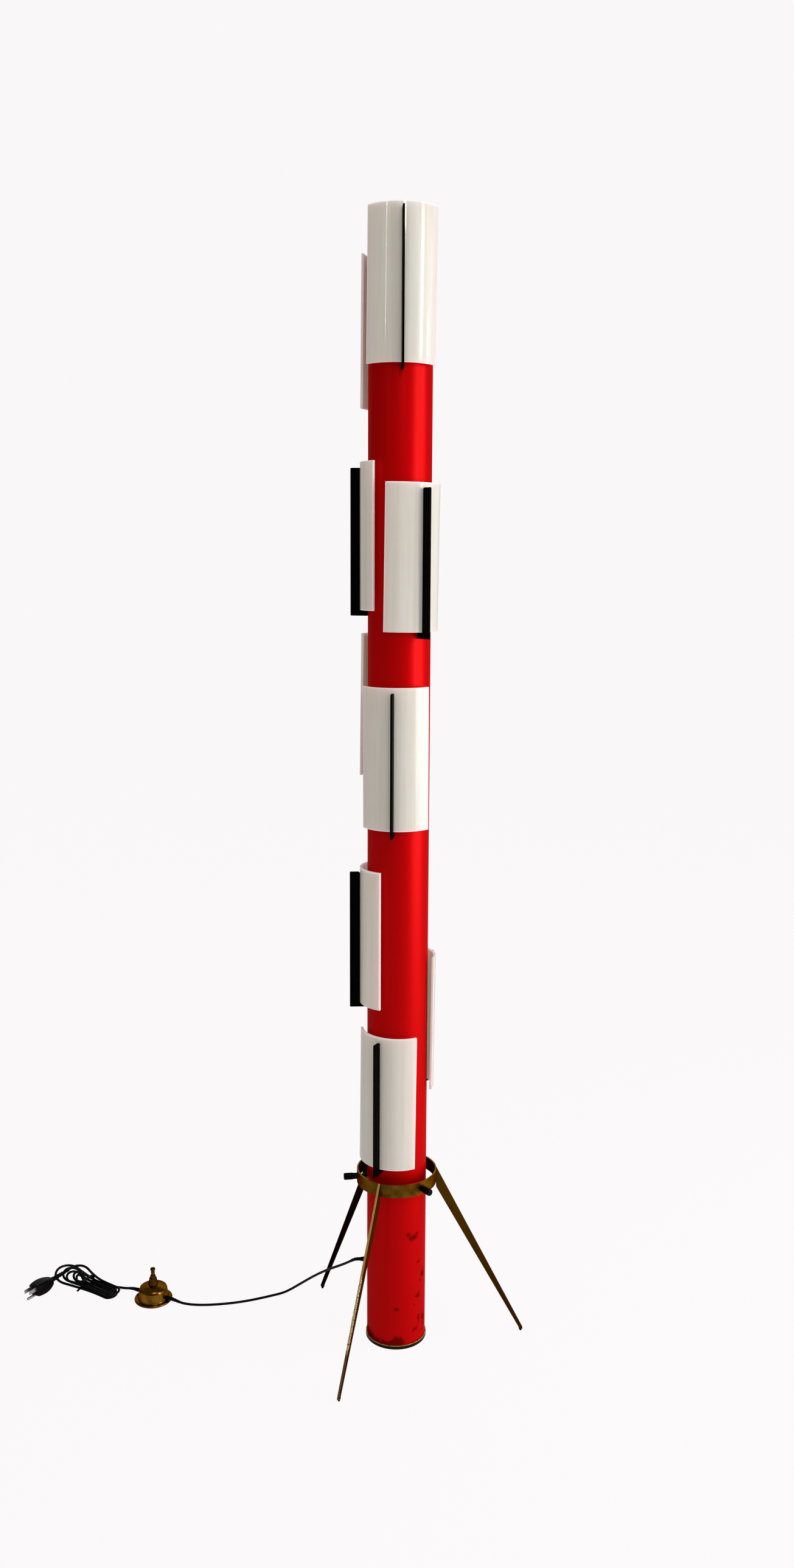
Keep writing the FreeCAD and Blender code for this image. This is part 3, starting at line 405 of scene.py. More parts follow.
def leg_bronze(name, top, foot, roughness, hammer):
    """Olive brass at the collar that darkens towards the foot, with a lumpy surface"""
    s, place = begin(name)
    z = s.axes(place)[2]
    patches = s.noise(place, 45, 5, 0.6)
    speckle = s.noise(place, 600, 3, 0.65)
    down = 1 - (z + (patches - 0.5) * 0.12).between(0.03, 0.27)
    colour = s.mix(down, top, foot)
    soot = (patches.between(0.45, 0.70) * 0.6 + speckle.between(0.52, 0.72) * 0.4)
    colour = s.mix(soot * 0.6, colour, tuple(0.32 * c for c in foot))
    lumps = s.cells(place, 330)
    height = lumps * hammer + speckle * 0.3 + patches * 0.5
    return s.surface(
        base_color=colour,
        metallic=0.95,
        specular_tint=tuple(min(1.0, 6 * c) for c in top),
        roughness=roughness + soot * 0.16,
        normal=s.bump(height, 0.35 + 0.4 * hammer, 0.0005))


def filed_edge():
    """The front leg's outer edge, painted brighter than its sides as a highlight: filed on top,
    brazed below, dull at the foot
    """
    s, place = begin("filed_edge")
    z = s.axes(place)[2]
    speckle = s.noise(place, 520, 4, 0.7)
    rubbed = s.noise(place, 150, 3, 0.6)
    rough_part = (1 - (z + (rubbed - 0.5) * 0.02).between(0.170, 0.182))
    dull_part = 1 - (z + (rubbed - 0.5) * 0.02).between(0.062, 0.072)
    # Painted highlight: the edge colours are far brighter than the leg's sides
    filed = s.mix(rubbed, (0.56, 0.30, 0.065), (0.88, 0.54, 0.16))
    brazed = s.mix(speckle.between(0.42, 0.58), (0.15, 0.07, 0.012), (0.98, 0.72, 0.30))
    dull = s.mix(rubbed, (0.15, 0.085, 0.025), (0.30, 0.19, 0.075))
    colour = s.mix(dull_part, s.mix(rough_part, filed, brazed), dull)
    height = speckle * rough_part * 2.0 + rubbed * 0.5
    return s.surface(
        base_color=colour,
        metallic=0.45 + rough_part * 0.4,
        roughness=0.30 - rough_part * 0.06 + dull_part * 0.22,
        normal=s.bump(height, 0.6, 0.0007))


def brazing_metal():
    """Golden filler, painted bright as its glints, with dark flux left in its hollows"""
    s, place = begin("brazing_metal")
    hollows = s.noise(place, 560, 4, 0.7)
    tone = s.noise(place, 160, 2)
    # Painted glints: the gold is near white
    gold_and_painted_glints = s.mix(tone, (0.92, 0.62, 0.22), (1.0, 0.86, 0.52))
    colour = s.mix(hollows.between(0.39, 0.50), (0.09, 0.040, 0.008), gold_and_painted_glints)
    return s.surface(base_color=colour, metallic=0.45, roughness=0.15 + hollows * 0.15,
                     normal=s.bump(hollows, 0.7, 0.0006))


def foot_cap_brass():
    """Spun cap: its top lip painted golden as a highlight over its side painted near black as shade
    """
    s, place = begin("foot_cap_brass")
    z = s.axes(place)[2]
    grime = s.noise(place, 160, 4, 0.65)
    # The rubbed mask marks the painted highlight along the lip; the side below is painted dark as
    # shade
    rubbed = (z + (grime - 0.5) * 1.2 * MM).between(5.9 * MM, 6.6 * MM)
    side = s.mix(grime, (0.004, 0.002, 0.001), (0.040, 0.020, 0.005))
    highlight_lip = s.mix(grime.between(0.45, 0.65), (0.85, 0.60, 0.22), (0.34, 0.18, 0.04))
    colour = s.mix(rubbed, side, highlight_lip)
    return s.surface(base_color=colour, metallic=0.9, roughness=0.40 - rubbed * 0.12 + grime * 0.1,
                     normal=s.bump(grime, 0.3, 0.0003))


def black_paint():
    s, place = begin("black_paint")
    orange_peel = s.noise(place, 900, 2)
    dust = s.noise(place, 260, 4, 0.7).between(0.58, 0.75)
    colour = s.mix(dust * 0.4, (0.0008, 0.0007, 0.0006), (0.012, 0.008, 0.005))
    return s.surface(base_color=colour, roughness=0.55 + dust * 0.2, specular_ior_level=0.02,
                     normal=s.bump(orange_peel, 0.15, 0.0002))


def moulded_black(name, base, roughness, tint=(1.0, 1.0, 1.0), gloss=0.08):
    """Moulded black plastic or rubber with a fine spark-eroded grain"""
    s, place = begin(name)
    grain = s.noise(place, 1600, 3, 0.6)
    rubbed = s.noise(place, 90, 4, 0.6).between(0.5, 0.75)
    colour = s.mix(rubbed * 0.5, tuple(base * c for c in tint), tuple(base * 3 * c for c in tint))
    return s.surface(base_color=colour, roughness=roughness + rubbed * 0.12,
                     specular_ior_level=gloss, normal=s.bump(grain, 0.22, 0.0002))


def cord_jacket():
    """Flexible black PVC, slightly shiny where it is bent"""
    s, place = begin("cord_jacket")
    ripple = s.noise(place, 260, 2)
    dust = s.noise(place, 700, 3, 0.6).between(0.55, 0.75)
    colour = s.mix(dust * 0.4, (0.0012, 0.0012, 0.0012), (0.008, 0.007, 0.006))
    return s.surface(base_color=colour, roughness=0.30 + dust * 0.2, specular_ior_level=0.14,
                     normal=s.bump(ripple, 0.12, 0.0003))


def plated_steel():
    s, place = begin("plated_steel")
    brushed = s.noise(s.stretched(place, (1, 8, 1)), 600, 2)
    tone = s.noise(place, 80, 3)
    colour = s.mix(tone, (0.55, 0.54, 0.50), (0.72, 0.71, 0.68))
    return s.surface(base_color=colour, metallic=1.0, roughness=0.22 + brushed * 0.15,
                     normal=s.bump(brushed, 0.1, 0.0001))


def blackened_steel():
    s, place = begin("blackened_steel")
    rub = s.noise(place, 500, 3, 0.6).between(0.55, 0.7)
    colour = s.mix(rub * 0.5, (0.003, 0.003, 0.003), (0.03, 0.027, 0.025))
    return s.surface(base_color=colour, metallic=0.3, roughness=0.40, specular_ior_level=0.2,
                     normal=s.bump(rub, 0.1, 0.0001))


def frosted_glass():
    s, place = begin("frosted_glass")
    frost = s.noise(place, 1200, 2)
    colour = s.mix(frost, (0.86, 0.85, 0.80), (0.92, 0.91, 0.88))
    return s.surface(base_color=colour, roughness=0.35 + frost * 0.1, subsurface_weight=0.3,
                     subsurface_radius=(0.004, 0.004, 0.003), subsurface_scale=1.0)


def holder_plastic():
    s, place = begin("holder_plastic")
    tone = s.noise(place, 140, 3)
    colour = s.mix(tone, (0.70, 0.68, 0.62), (0.78, 0.76, 0.70))
    return s.surface(base_color=colour, roughness=0.5,
                     normal=s.bump(s.noise(place, 1500, 2), 0.1, 0.0001))


# Finishing a CAD part

def belong(piece, node):
    """Puts a piece on the body of the node that it stands in for or sits on"""
    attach(piece, BODY_OF[node])


def give(piece, node, material):
    piece.data.materials.clear()
    piece.data.materials.append(material)
    belong(piece, node)
    return piece


def merged_copy(node):
    """A copy of a node's mesh with its triangles merged into whole faces"""
    mesh = frame["nodes"][node].data.copy()
    work = bmesh.new()
    work.from_mesh(mesh)
    bmesh.ops.remove_doubles(work, verts=work.verts, dist=MERGE_DISTANCE)
    bmesh.ops.dissolve_limit(work, angle_limit=FLAT_WITHIN, verts=work.verts, edges=work.edges)
    for face in work.faces:
        face.smooth = True
        face.material_index = 0
    work.to_mesh(mesh)
    work.free()
    return mesh


def evaluated_mesh(piece):
    """The piece's mesh with its modifiers worked in"""
    bpy.context.view_layer.update()
    shown = piece.evaluated_get(bpy.context.evaluated_depsgraph_get())
    return bpy.data.meshes.new_from_object(shown)


def finished(node, material, edge=0.3 * MM, angle=38, segments=2):
    """A smooth copy of a node with its sharp edges rounded"""
    piece = add_object(node + "_finished", merged_copy(node))
    bevel = piece.modifiers.new("rounded_edges", "BEVEL")
    bevel.width = edge
    bevel.segments = segments
    bevel.limit_method = "ANGLE"
    bevel.angle_limit = math.radians(angle)
    bevel.use_clamp_overlap = True
    weighted = piece.modifiers.new("even_shading", "WEIGHTED_NORMAL")
    weighted.weight = 50
    give(piece, node, material)
    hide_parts(node)
    return piece


def work_in_modifiers(piece):
    mesh = evaluated_mesh(piece)
    piece.modifiers.clear()
    piece.data = mesh


def true_round(piece, centre_at):
    """Gives every vertex of a drum-shaped face the normal of the true round surface"""
    mesh = piece.data
    normals = [Vector((0, 0, 0)) for _ in mesh.vertices]
    largest = [0.0] * len(mesh.vertices)
    rounded = [False] * len(mesh.vertices)
    for face in mesh.polygons:
        centre = centre_at(face.center.z)
        away = spoke_to(face.center, centre).normalized()
        facing = face.normal.dot(away)
        drum = abs(facing) > DRUM_FACING and face.area > DRUM_LEAST_AREA
        for v in face.vertices:
            if drum and not rounded[v]:
                co = mesh.vertices[v].co
                radial = spoke_to(co, centre_at(co.z)).normalized()
                normals[v] = radial if facing > 0 else -radial
                rounded[v] = True
            elif not rounded[v] and face.area > largest[v]:
                largest[v] = face.area
                normals[v] = face.normal.copy()
    mesh.normals_split_custom_set([normals[loop.vertex_index] for loop in mesh.loops])


def drum_axis(mesh, outward):
    """The centre line of a curved sheet, found from its outer face, as a function of height"""
    rows = []
    sums = []
    for face in mesh.polygons:
        if face.normal.dot(outward) > 0.4 and face.area > SHEET_LEAST_AREA:
            for v in face.vertices:
                x, y, z = mesh.vertices[v].co
                rows.append((x, y, x * z, y * z, z, 1.0))
                sums.append(x * x + y * y)
    fit = numpy.linalg.lstsq(numpy.array(rows), numpy.array(sums), rcond=None)[0]
    return lambda z: ((fit[0] + fit[2] * z) / 2, (fit[1] + fit[3] * z) / 2)


def shade(number, sheet, edge):
    """A shade with its sawn edges in a material painted lighter as a glow, and its slot closed up
    to the fin
    """
    piece = finished(f"shade_{number}", sheet, edge=0.55 * MM, segments=3)
    across = level_direction(LIGHT_AZIMUTHS[number - 1])
    outward = Vector((across.y, -across.x, 0))
    walls = {}
    for face in piece.data.polygons:
        facing = face.normal.dot(across)
        in_slot = abs(face.center.dot(across)) < SLOT_REACH and face.center.dot(outward) > 0
        if in_slot and abs(facing) > WALL_FACING:
            for v in face.vertices:
                walls[v] = -math.copysign(SLOT_CLOSED_HALF, facing)
    for v, offset in walls.items():
        vertex = piece.data.vertices[v]
        vertex.co += across * (offset - vertex.co.dot(across))
    work_in_modifiers(piece)
    piece.data.materials.append(edge)
    centre_at = drum_axis(piece.data, outward)
    map_sheet(piece.data, centre_at, outward, across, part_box(f"shade_{number}")[0][2])
    for face in piece.data.polygons:
        away = spoke_to(face.center).normalized()
        if abs(face.normal.dot(away)) < SURFACE_FACING:
            face.material_index = 1
    true_round(piece, centre_at)


def map_sheet(mesh, centre_at, outward, across, bottom):
    """A map of a curved sheet laid flat, in metres from its middle line and its lower edge"""
    layer = mesh.uv_layers.new(name="sheet")
    for loop in mesh.loops:
        co = mesh.vertices[loop.vertex_index].co
        spoke = spoke_to(co, centre_at(co.z))
        angle = math.atan2(spoke.dot(across), spoke.dot(outward))
        layer.data[loop.index].uv = (angle * SHEET_RADIUS, co.z - bottom)


def column_tube(material):
    piece = finished("column_tube", material, edge=0.2 * MM, angle=50)
    work_in_modifiers(piece)
    true_round(piece, lambda z: (0.0, 0.0))


def collar_ring(outside, shaded_inside, top_edge):
    """The collar, its inner face painted dark red as shade and as a reflection of the column, and
    its top faces painted brighter as a highlight
    """
    piece = finished("collar_ring", outside, edge=0.35 * MM)
    work_in_modifiers(piece)
    piece.data.materials.append(shaded_inside)
    piece.data.materials.append(top_edge)
    for face in piece.data.polygons:
        away = spoke_to(face.center).normalized()
        if face.normal.dot(away) < -0.5:
            face.material_index = 1
        elif face.normal.z > 0.4:
            face.material_index = 2
    true_round(piece, lambda z: (0.0, 0.0))


def screw_knob(number, material):
    """A thumbscrew's knob, its neck as wide as its grip"""
    node = f"thumbscrew_knob_{number}"
    piece = finished(node, material)
    outward = level_direction(SCREW_AZIMUTHS[number - 1])
    low, high = (Vector(corner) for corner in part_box(node))
    height = Vector((0, 0, (low.z + high.z) / 2))
    for vertex in piece.data.vertices:
        along = vertex.co.dot(outward)
        spoke = vertex.co - height - outward * along
        on_neck = NECK_RADIUS - NEAR < spoke.length < NECK_RADIUS + NEAR
        if on_neck and along < KNOB_START + 2 * KNOB_NECK:
            vertex.co += spoke * (NECK_WIDENED / spoke.length - 1)


def scaled_in(place, x, y, z):
    """A scaling along the axes of another frame"""
    return place @ Matrix.Diagonal((x, y, z, 1)) @ place.inverted()


def slim_plug(node, material):
    """A part of the plug, a little narrower than its outline in the CAD"""
    piece = finished(node, material)
    mount = next(mount for mount in record["mounts"] if mount["name"] == "mains_plug")
    place = along_axis(Vector(mount["pos_m"]), Vector(mount["axis"]))
    piece.data.transform(scaled_in(place, PLUG_SLIMMED, PLUG_SLIMMED, 1))
    return piece


def switch_housing(material):
    """The foot switch's pressed housing, with a rounded shoulder and a flared wall"""
    piece = finished("switch_housing", material)
    shoulder_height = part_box("switch_housing")[1][2] - DOME_RISE
    work = bmesh.new()
    work.from_mesh(piece.data)
    shoulder = [edge for edge in work.edges
                if all(abs(v.co.z - shoulder_height) < NEAR and
                       (v.co - SWITCH_PLACE).xy.length > HOUSING_RADIUS - NEAR
                       for v in edge.verts)]
    bmesh.ops.bevel(work, geom=shoulder, offset=SHOULDER_ROUND, segments=5, profile=0.5,
                    affect="EDGES")
    for face in work.faces:
        face.smooth = True
    work.to_mesh(piece.data)
    work.free()
    for vertex in piece.data.vertices:
        spoke = spoke_to(vertex.co, SWITCH_PLACE)
        if HOUSING_SPAN[0] < spoke.length < HOUSING_SPAN[1] and vertex.co.z > FLANGE_TOP - 0.1 * MM:
            down = max(0, 1 - (vertex.co.z - FLANGE_TOP) / (shoulder_height - FLANGE_TOP))
            vertex.co += spoke * (HOUSING_SWELL[0] + HOUSING_SWELL[1] * down)
    return piece


def leg(number, sides, edge=None):
    """A leg; the front one has an outer edge in its own material, painted brighter as a highlight
    """
    piece = finished(f"leg_{number}", sides, edge=0.45 * MM)
    if edge is None:
        return
    piece.data.materials.append(edge)
    outward = level_direction(LEG_DIRECTIONS[number - 1])
    for face in piece.data.polygons:
        if face.normal.dot(outward) > 0.6:
            face.material_index = 1


# Parts grown by Geometry Nodes

class Grower:
    """Builds one Geometry Nodes tree with named sizes and grows it into a plain mesh"""

    def __init__(self, name, sizes):
        self.sizes = sizes
        self.tree = bpy.data.node_groups.new(name, "GeometryNodeTree")
        interface = self.tree.interface
        for label, value in sizes.items():
            kind = "NodeSocketInt" if isinstance(value, int) else "NodeSocketFloat"
            interface.new_socket(label, in_out="INPUT", socket_type=kind)
        interface.new_socket("Geometry", in_out="OUTPUT", socket_type="NodeSocketGeometry")
        self.given = self.tree.nodes.new("NodeGroupInput")
        self.result = self.tree.nodes.new("NodeGroupOutput")

    def size(self, label):
        return self.given.outputs[label]

    def add(self, kind, settings=None, values=None):
        made = self.tree.nodes.new(kind)
        for name, setting in (settings or {}).items():
            setattr(made, name, setting)
        for key, value in (values or {}).items():
            if isinstance(value, bpy.types.NodeSocket):
                self.tree.links.new(value, made.inputs[key])
            else:
                made.inputs[key].default_value = value
        return made.outputs[0]

    def grow(self, name, shape, material):
        """A mesh of the tree's shape with the sizes put in, its instances made real"""
        real = self.add("GeometryNodeRealizeInstances", values={0: shape})
        smooth = self.add("GeometryNodeSetShadeSmooth", values={0: real})
        coloured = self.add("GeometryNodeSetMaterial", values={0: smooth, "Material": material})
        self.tree.links.new(coloured, self.result.inputs[0])
        piece = add_object(name, bpy.data.meshes.new(name))
        modifier = piece.modifiers.new("grown", "NODES")
        modifier.node_group = self.tree
        for item in self.tree.interface.items_tree:
            if item.name in self.sizes:
                modifier[item.identifier] = self.sizes[item.name]
        work_in_modifiers(piece)
        return piece


def along_axis(place, heading):
    """A placement whose local z axis points along a heading"""
    return Matrix.Translation(place) @ heading.to_track_quat("Z", "Y").to_matrix().to_4x4()


def knob_flutes(number, material):
    """Fine ribs round a thumbscrew's knob, for the fingers"""
    grower = Grower("knob_flutes", {"Flutes": 22, "Ring radius": 5.33 * MM,
                                    "Flute radius": 0.42 * MM, "Flute length": 13.2 * MM})
    add, size = grower.add, grower.size
    ring = add("GeometryNodeMeshCircle", values={"Vertices": size("Flutes"),
                                                 "Radius": size("Ring radius")})
    flute = add("GeometryNodeMeshCylinder", values={
        "Vertices": 8, "Radius": size("Flute radius"), "Depth": size("Flute length")})
    ribs = add("GeometryNodeInstanceOnPoints", values={"Points": ring, "Instance": flute})
    piece = grower.grow(f"knob_flutes_{number}", ribs, material)
    node = f"thumbscrew_knob_{number}"
    low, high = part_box(node)
    outward = level_direction(SCREW_AZIMUTHS[number - 1])
    middle = KNOB_START + KNOB_NECK + (KNOB_LENGTH - KNOB_NECK) / 2
    height = (Vector(low).z + Vector(high).z) / 2
    piece.data.transform(along_axis(outward * middle + Vector((0, 0, height)), outward))
    belong(piece, node)


def switch_coil(material):
    """The foot switch's wire spring, at its rest length; the real one shortens as the button goes
    down
    """
    low, high = (Vector(corner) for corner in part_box("switch_spring"))
    wire = 0.65 * MM
    grower = Grower("wire_spring", {"Turns": 6.5, "Coil radius": 5.2 * MM,
                                    "Coil height": high.z - low.z - 2 * wire, "Wire radius": wire})
    add, size = grower.add, grower.size
    helix = add("GeometryNodeCurveSpiral", values={
        "Resolution": 26, "Rotations": size("Turns"), "Start Radius": size("Coil radius"),
        "End Radius": size("Coil radius"), "Height": size("Coil height")})
    section = add("GeometryNodeCurvePrimitiveCircle",
                  values={"Resolution": 8, "Radius": size("Wire radius")})
    coil = add("GeometryNodeCurveToMesh",
               values={"Curve": helix, "Profile Curve": section, "Fill Caps": True})
    piece = grower.grow("switch_coil", coil, material)
    foot = Vector(((low.x + high.x) / 2, (low.y + high.y) / 2, low.z))
    piece.data.transform(Matrix.Translation(foot + Vector((0, 0, wire))))
    belong(piece, "switch_spring")
    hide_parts("switch_spring")
    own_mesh(piece)
    return piece


def braze_bead(material):
    """Rough filler metal along the lower part of the front leg's outer edge"""
    outward = level_direction(LEG_DIRECTIONS[0])
    top = outward * LEG_START + Vector((0, 0, STAND_TOP))
    foot = outward * LEG_REACH + Vector((0, 0, LEG_FOOT))
    share = [(STAND_TOP - height) / (STAND_TOP - LEG_FOOT) for height in BRAZE_HEIGHTS]
    start, end = top.lerp(foot, share[0]), top.lerp(foot, share[1])
    grower = Grower("brazed_bead", {"Bead length": (end - start).length, "Step": 0.7 * MM,
                                    "Bead radius": 2.15 * MM, "Lump size": 300.0,
                                    "Lump height": 1.9 * MM})
    add, size = grower.add, grower.size
    far_end = add("ShaderNodeCombineXYZ", values={"X": size("Bead length")})
    line = add("GeometryNodeCurvePrimitiveLine", values={"End": far_end})
    line = add("GeometryNodeResampleCurve", {"mode": "LENGTH"},
               {"Curve": line, "Length": size("Step")})
    share_along = add("GeometryNodeSplineParameter")
    inwards = add("ShaderNodeMath", {"operation": "PINGPONG"}, {0: share_along, 1: 0.5})
    taper = add("ShaderNodeMath", {"operation": "MULTIPLY", "use_clamp": True},
                {0: inwards, 1: 12.0})
    line = add("GeometryNodeSetCurveRadius", values={"Curve": line, "Radius": taper})
    section = add("GeometryNodeCurvePrimitiveCircle",
                  values={"Resolution": 14, "Radius": size("Bead radius")})
    bead = add("GeometryNodeCurveToMesh", values={"Curve": line, "Profile Curve": section,
                                                  "Scale": taper, "Fill Caps": True})
    place = add("GeometryNodeInputPosition")
    lumps = add("ShaderNodeTexNoise", values={"Vector": place, "Scale": size("Lump size"),
                                              "Detail": 3.0, "Roughness": 0.6})
    rise = add("ShaderNodeMath", {"operation": "SUBTRACT"}, {0: lumps, 1: 0.55})
    rise = add("ShaderNodeMath", {"operation": "MULTIPLY"}, {0: rise, 1: size("Lump height")})
    normal = add("GeometryNodeInputNormal")
    push = add("ShaderNodeVectorMath", {"operation": "SCALE"}, {0: normal, "Scale": rise})
    bead = add("GeometryNodeSetPosition", values={"Geometry": bead, "Offset": push})
    piece = grower.grow("front_leg_brazing", bead, material)
    run = (end - start).normalized()
    across = Vector((-outward.y, outward.x, 0))
    over = run.cross(across)
    if over.dot(outward) < 0:
        over = -over
        across = -across
    place = Matrix.Translation(start - over * BEAD_SUNK)
    turn = Matrix((run, across, over)).transposed().to_4x4()
    piece.data.transform(place @ turn @ Matrix.Diagonal((1, 1, BEAD_FLATTENED, 1)))
    if turn.determinant() < 0:
        piece.data.flip_normals()
    belong(piece, "leg_1")


# Cords

def smooth_route(name, points, radius):
    """A round cord along a smooth line through the bends of a route; its points carry its radius"""
    data = bpy.data.curves.new(name, "CURVE")
    data.dimensions = "3D"
    data.bevel_depth = 1.0
    data.bevel_resolution = 4
    data.resolution_u = 6
    data.use_fill_caps = True
    spline = data.splines.new("NURBS")
    spline.points.add(len(points) - 1)
    for point, place in zip(spline.points, points):
        point.co = (*place, 1)
        point.radius = radius
    spline.order_u = 3
    spline.use_endpoint_u = True
    return add_object(name, data)


def line_points(piece):
    """Places along a cord's own line"""
    depth = piece.data.bevel_depth
    piece.data.bevel_depth = 0
    mesh = evaluated_mesh(piece)
    piece.data.bevel_depth = depth
    places = [vertex.co.copy() for vertex in mesh.vertices]
    bpy.data.meshes.remove(mesh)
    return places


def length_of(places):
    return sum((b - a).length for a, b in zip(places, places[1:]))


CORD_RADIUS = 2.2 * MM
ENTRY_REACH = 34.3 * MM
ENTRY_DIRECTIONS = (-20.0, 155.0)


def entry_end(degrees, beyond=0.0):
    """Where a cord meets one of the foot switch's entries, or a little beyond"""
    return SWITCH_PLACE + level_direction(degrees) * (ENTRY_REACH + beyond)


CORD_TO_SWITCH_ROUTE = [
    (-60.3, 0.0, 137.0), (-67.3, 0.0, 137.0), (-73.5, 4.2, 133.4),
    (-83.5, 12.5, 123.5), (-98.0, 25.5, 110.0), (-123.0, 47.0, 89.0),
    (-150.0, 70.5, 62.5), (-177.0, 91.0, 34.5), (-196.5, 103.5, 15.5),
    (-211.0, 109.5, 5.2), (-225.5, 107.3, 2.3), (-244.0, 98.0, 2.3),
    (-271.0, 86.0, 2.3), (-301.0, 76.5, 2.3), (-334.0, 70.2, 2.3),
    (-362.0, 68.0, 2.6), (-384.0, 67.6, 5.0), (-396.0, 69.7, 8.2),
]

CORD_TO_HANK_ROUTE = [
    (-490.5, 110.6, 7.4),
    (-503.0, 115.6, 4.4),
    (-513.0, 119.1, 3.6),
]

# The tail rises over the loops and turns towards the plug; its places are in the hank's own frame
HANK_TAIL_ROUTE = [
    (14.0, -22.6, 12.4), (27.5, -27.2, 14.2), (40.5, -26.8, 15.4),
    (49.0, -18.0, 16.4), (49.4, -8.0, 16.5), (49.4, -3.5, 16.42),
    (49.4, -0.6, 16.33),
]

HANK_PLACE = Vector((-575.0, 128.0, 0)) * MM
HANK_HEADING = math.radians(148.3)
HANK_TURN = Matrix.Translation(HANK_PLACE) @ Matrix.Rotation(HANK_HEADING, 4, "Z")
LAYER_HEIGHTS = (3.55 * MM, 8.55 * MM)
STRAND_STEP = 2.6 * MM
INNER_STRAND = 5.2 * MM
LAYER_STRANDS = 6
HANK_RIGHT = -55.0 * MM
HANK_LEFT = 46.0 * MM
SHORT_TURN = 34.0 * MM
TURN_STEP = 2.0 * MM
OPEN_SHARE = 1.6
TURN_POINTS = 5
HANK_ENTRY_SHARE = 0.76
HANK_ENTRY_WIDTH = 1.15
TIE_REACH = 60.0 * MM
LAST_STRAND_END = 4.0 * MM
END_SHIFT_SHARE = 0.35
TIE_DRAWN_IN = 0.72
TIE_RISE = 1.28
OUTLET_BOOT = (22.0 * MM, 3.3 * MM)
SWITCH_BOOT = (20.0 * MM, 3.7 * MM)
BOOT_TIP = 2.5 * MM
BOOT_RIBS = 4
BOOT_SIDES = 20
RIB_STEPS = 6
RIB_DEPTH = 0.45 * MM
BOOT_WALL = 0.15 * MM


def eased(share):
    share = min(max(share, 0.0), 1.0)
    return share * share * (3 - 2 * share)


# Each strand's shift under the tie, sideways and up, and the rise of the turn after it,
# in millimetres
STRAND_SHIFTS = [(-6.6, 0.0), (-4.2, 0.0), (-6.0, 0.0), (-3.6, 0.0), (-5.2, 0.0), (-3.0, 0.0),
                 (-3.2, 0.0), (-5.9, 0.0), (-3.8, 0.0), (-6.4, 0.0), (-8.8, 3.9)]
LOOP_RISES = [9.5, 0.0, 7.0, 0.0, 9.0, 0.0, 9.5, 0.0, 9.5, 0.0, 0.0]


def hank_places():
    """The hank's loops: inwards on the floor, outwards on top, wide open at the left"""
    low, high = LAYER_HEIGHTS
    offsets = [INNER_STRAND + STRAND_STEP * k for k in range(LAYER_STRANDS - 1, -1, -1)]
    offsets += [INNER_STRAND + STRAND_STEP * k for k in range(1, LAYER_STRANDS)]
    outwards = [(offset - INNER_STRAND) / (offsets[0] - INNER_STRAND) for offset in offsets]
    spread = 1 / math.cos(math.pi / (TURN_POINTS + 1) / 2)
    places = []
    turn_end = HANK_RIGHT * HANK_ENTRY_SHARE
    turn_width = HANK_ENTRY_WIDTH
    for j, offset in enumerate(offsets):
        side = -1 if j % 2 == 0 else 1
        leftwards = j % 2 == 0
        climb = j == LAYER_STRANDS - 1
        level = low if j < LAYER_STRANDS else high
        last = j == len(offsets) - 1
        start, start_width = turn_end, turn_width
        if leftwards:
            turn_end = HANK_LEFT - SHORT_TURN * (1 - outwards[j])
            turn_width = 1 + (OPEN_SHARE - 1) * outwards[j]
        else:
            turn_end = HANK_RIGHT - TURN_STEP * outwards[j]
            turn_width = 1.0
        sideways, lift = (shift * MM for shift in STRAND_SHIFTS[j])
        for share in (0.0, 0.2, 0.4, 0.6, 0.8, 1.0):
            along = start + (turn_end - start) * share
            if last and along > LAST_STRAND_END:
                continue
            width = start_width + (turn_width - start_width) * eased(share)
            at_end = share in (0.0, 1.0)
            middle = END_SHIFT_SHARE if at_end else 1 - (along / TIE_REACH) ** 2
            height = level + (high - low) * share if climb else level
            outwards_by = side * (offset * width + sideways * middle)
            places.append(Vector((along, outwards_by, height + lift * middle)))
        if last:
            break
        a = offset * turn_width
        b = offsets[j + 1] * turn_width
        radius = (a + b) / 2 * spread
        way = 1 if leftwards else -1
        turn_level = high if j >= LAYER_STRANDS - 1 else low
        for k in range(1, TURN_POINTS + 1):
            angle = math.pi * k / (TURN_POINTS + 1)
            rise = LOOP_RISES[j] * MM * math.sin(angle)
            places.append(Vector((turn_end + way * radius * math.sin(angle),
                                  side * (a - b) / 2 + side * radius * math.cos(angle),
                                  turn_level + rise)))
    places += [Vector(p) * MM for p in HANK_TAIL_ROUTE]
    return [HANK_TURN @ place for place in places]


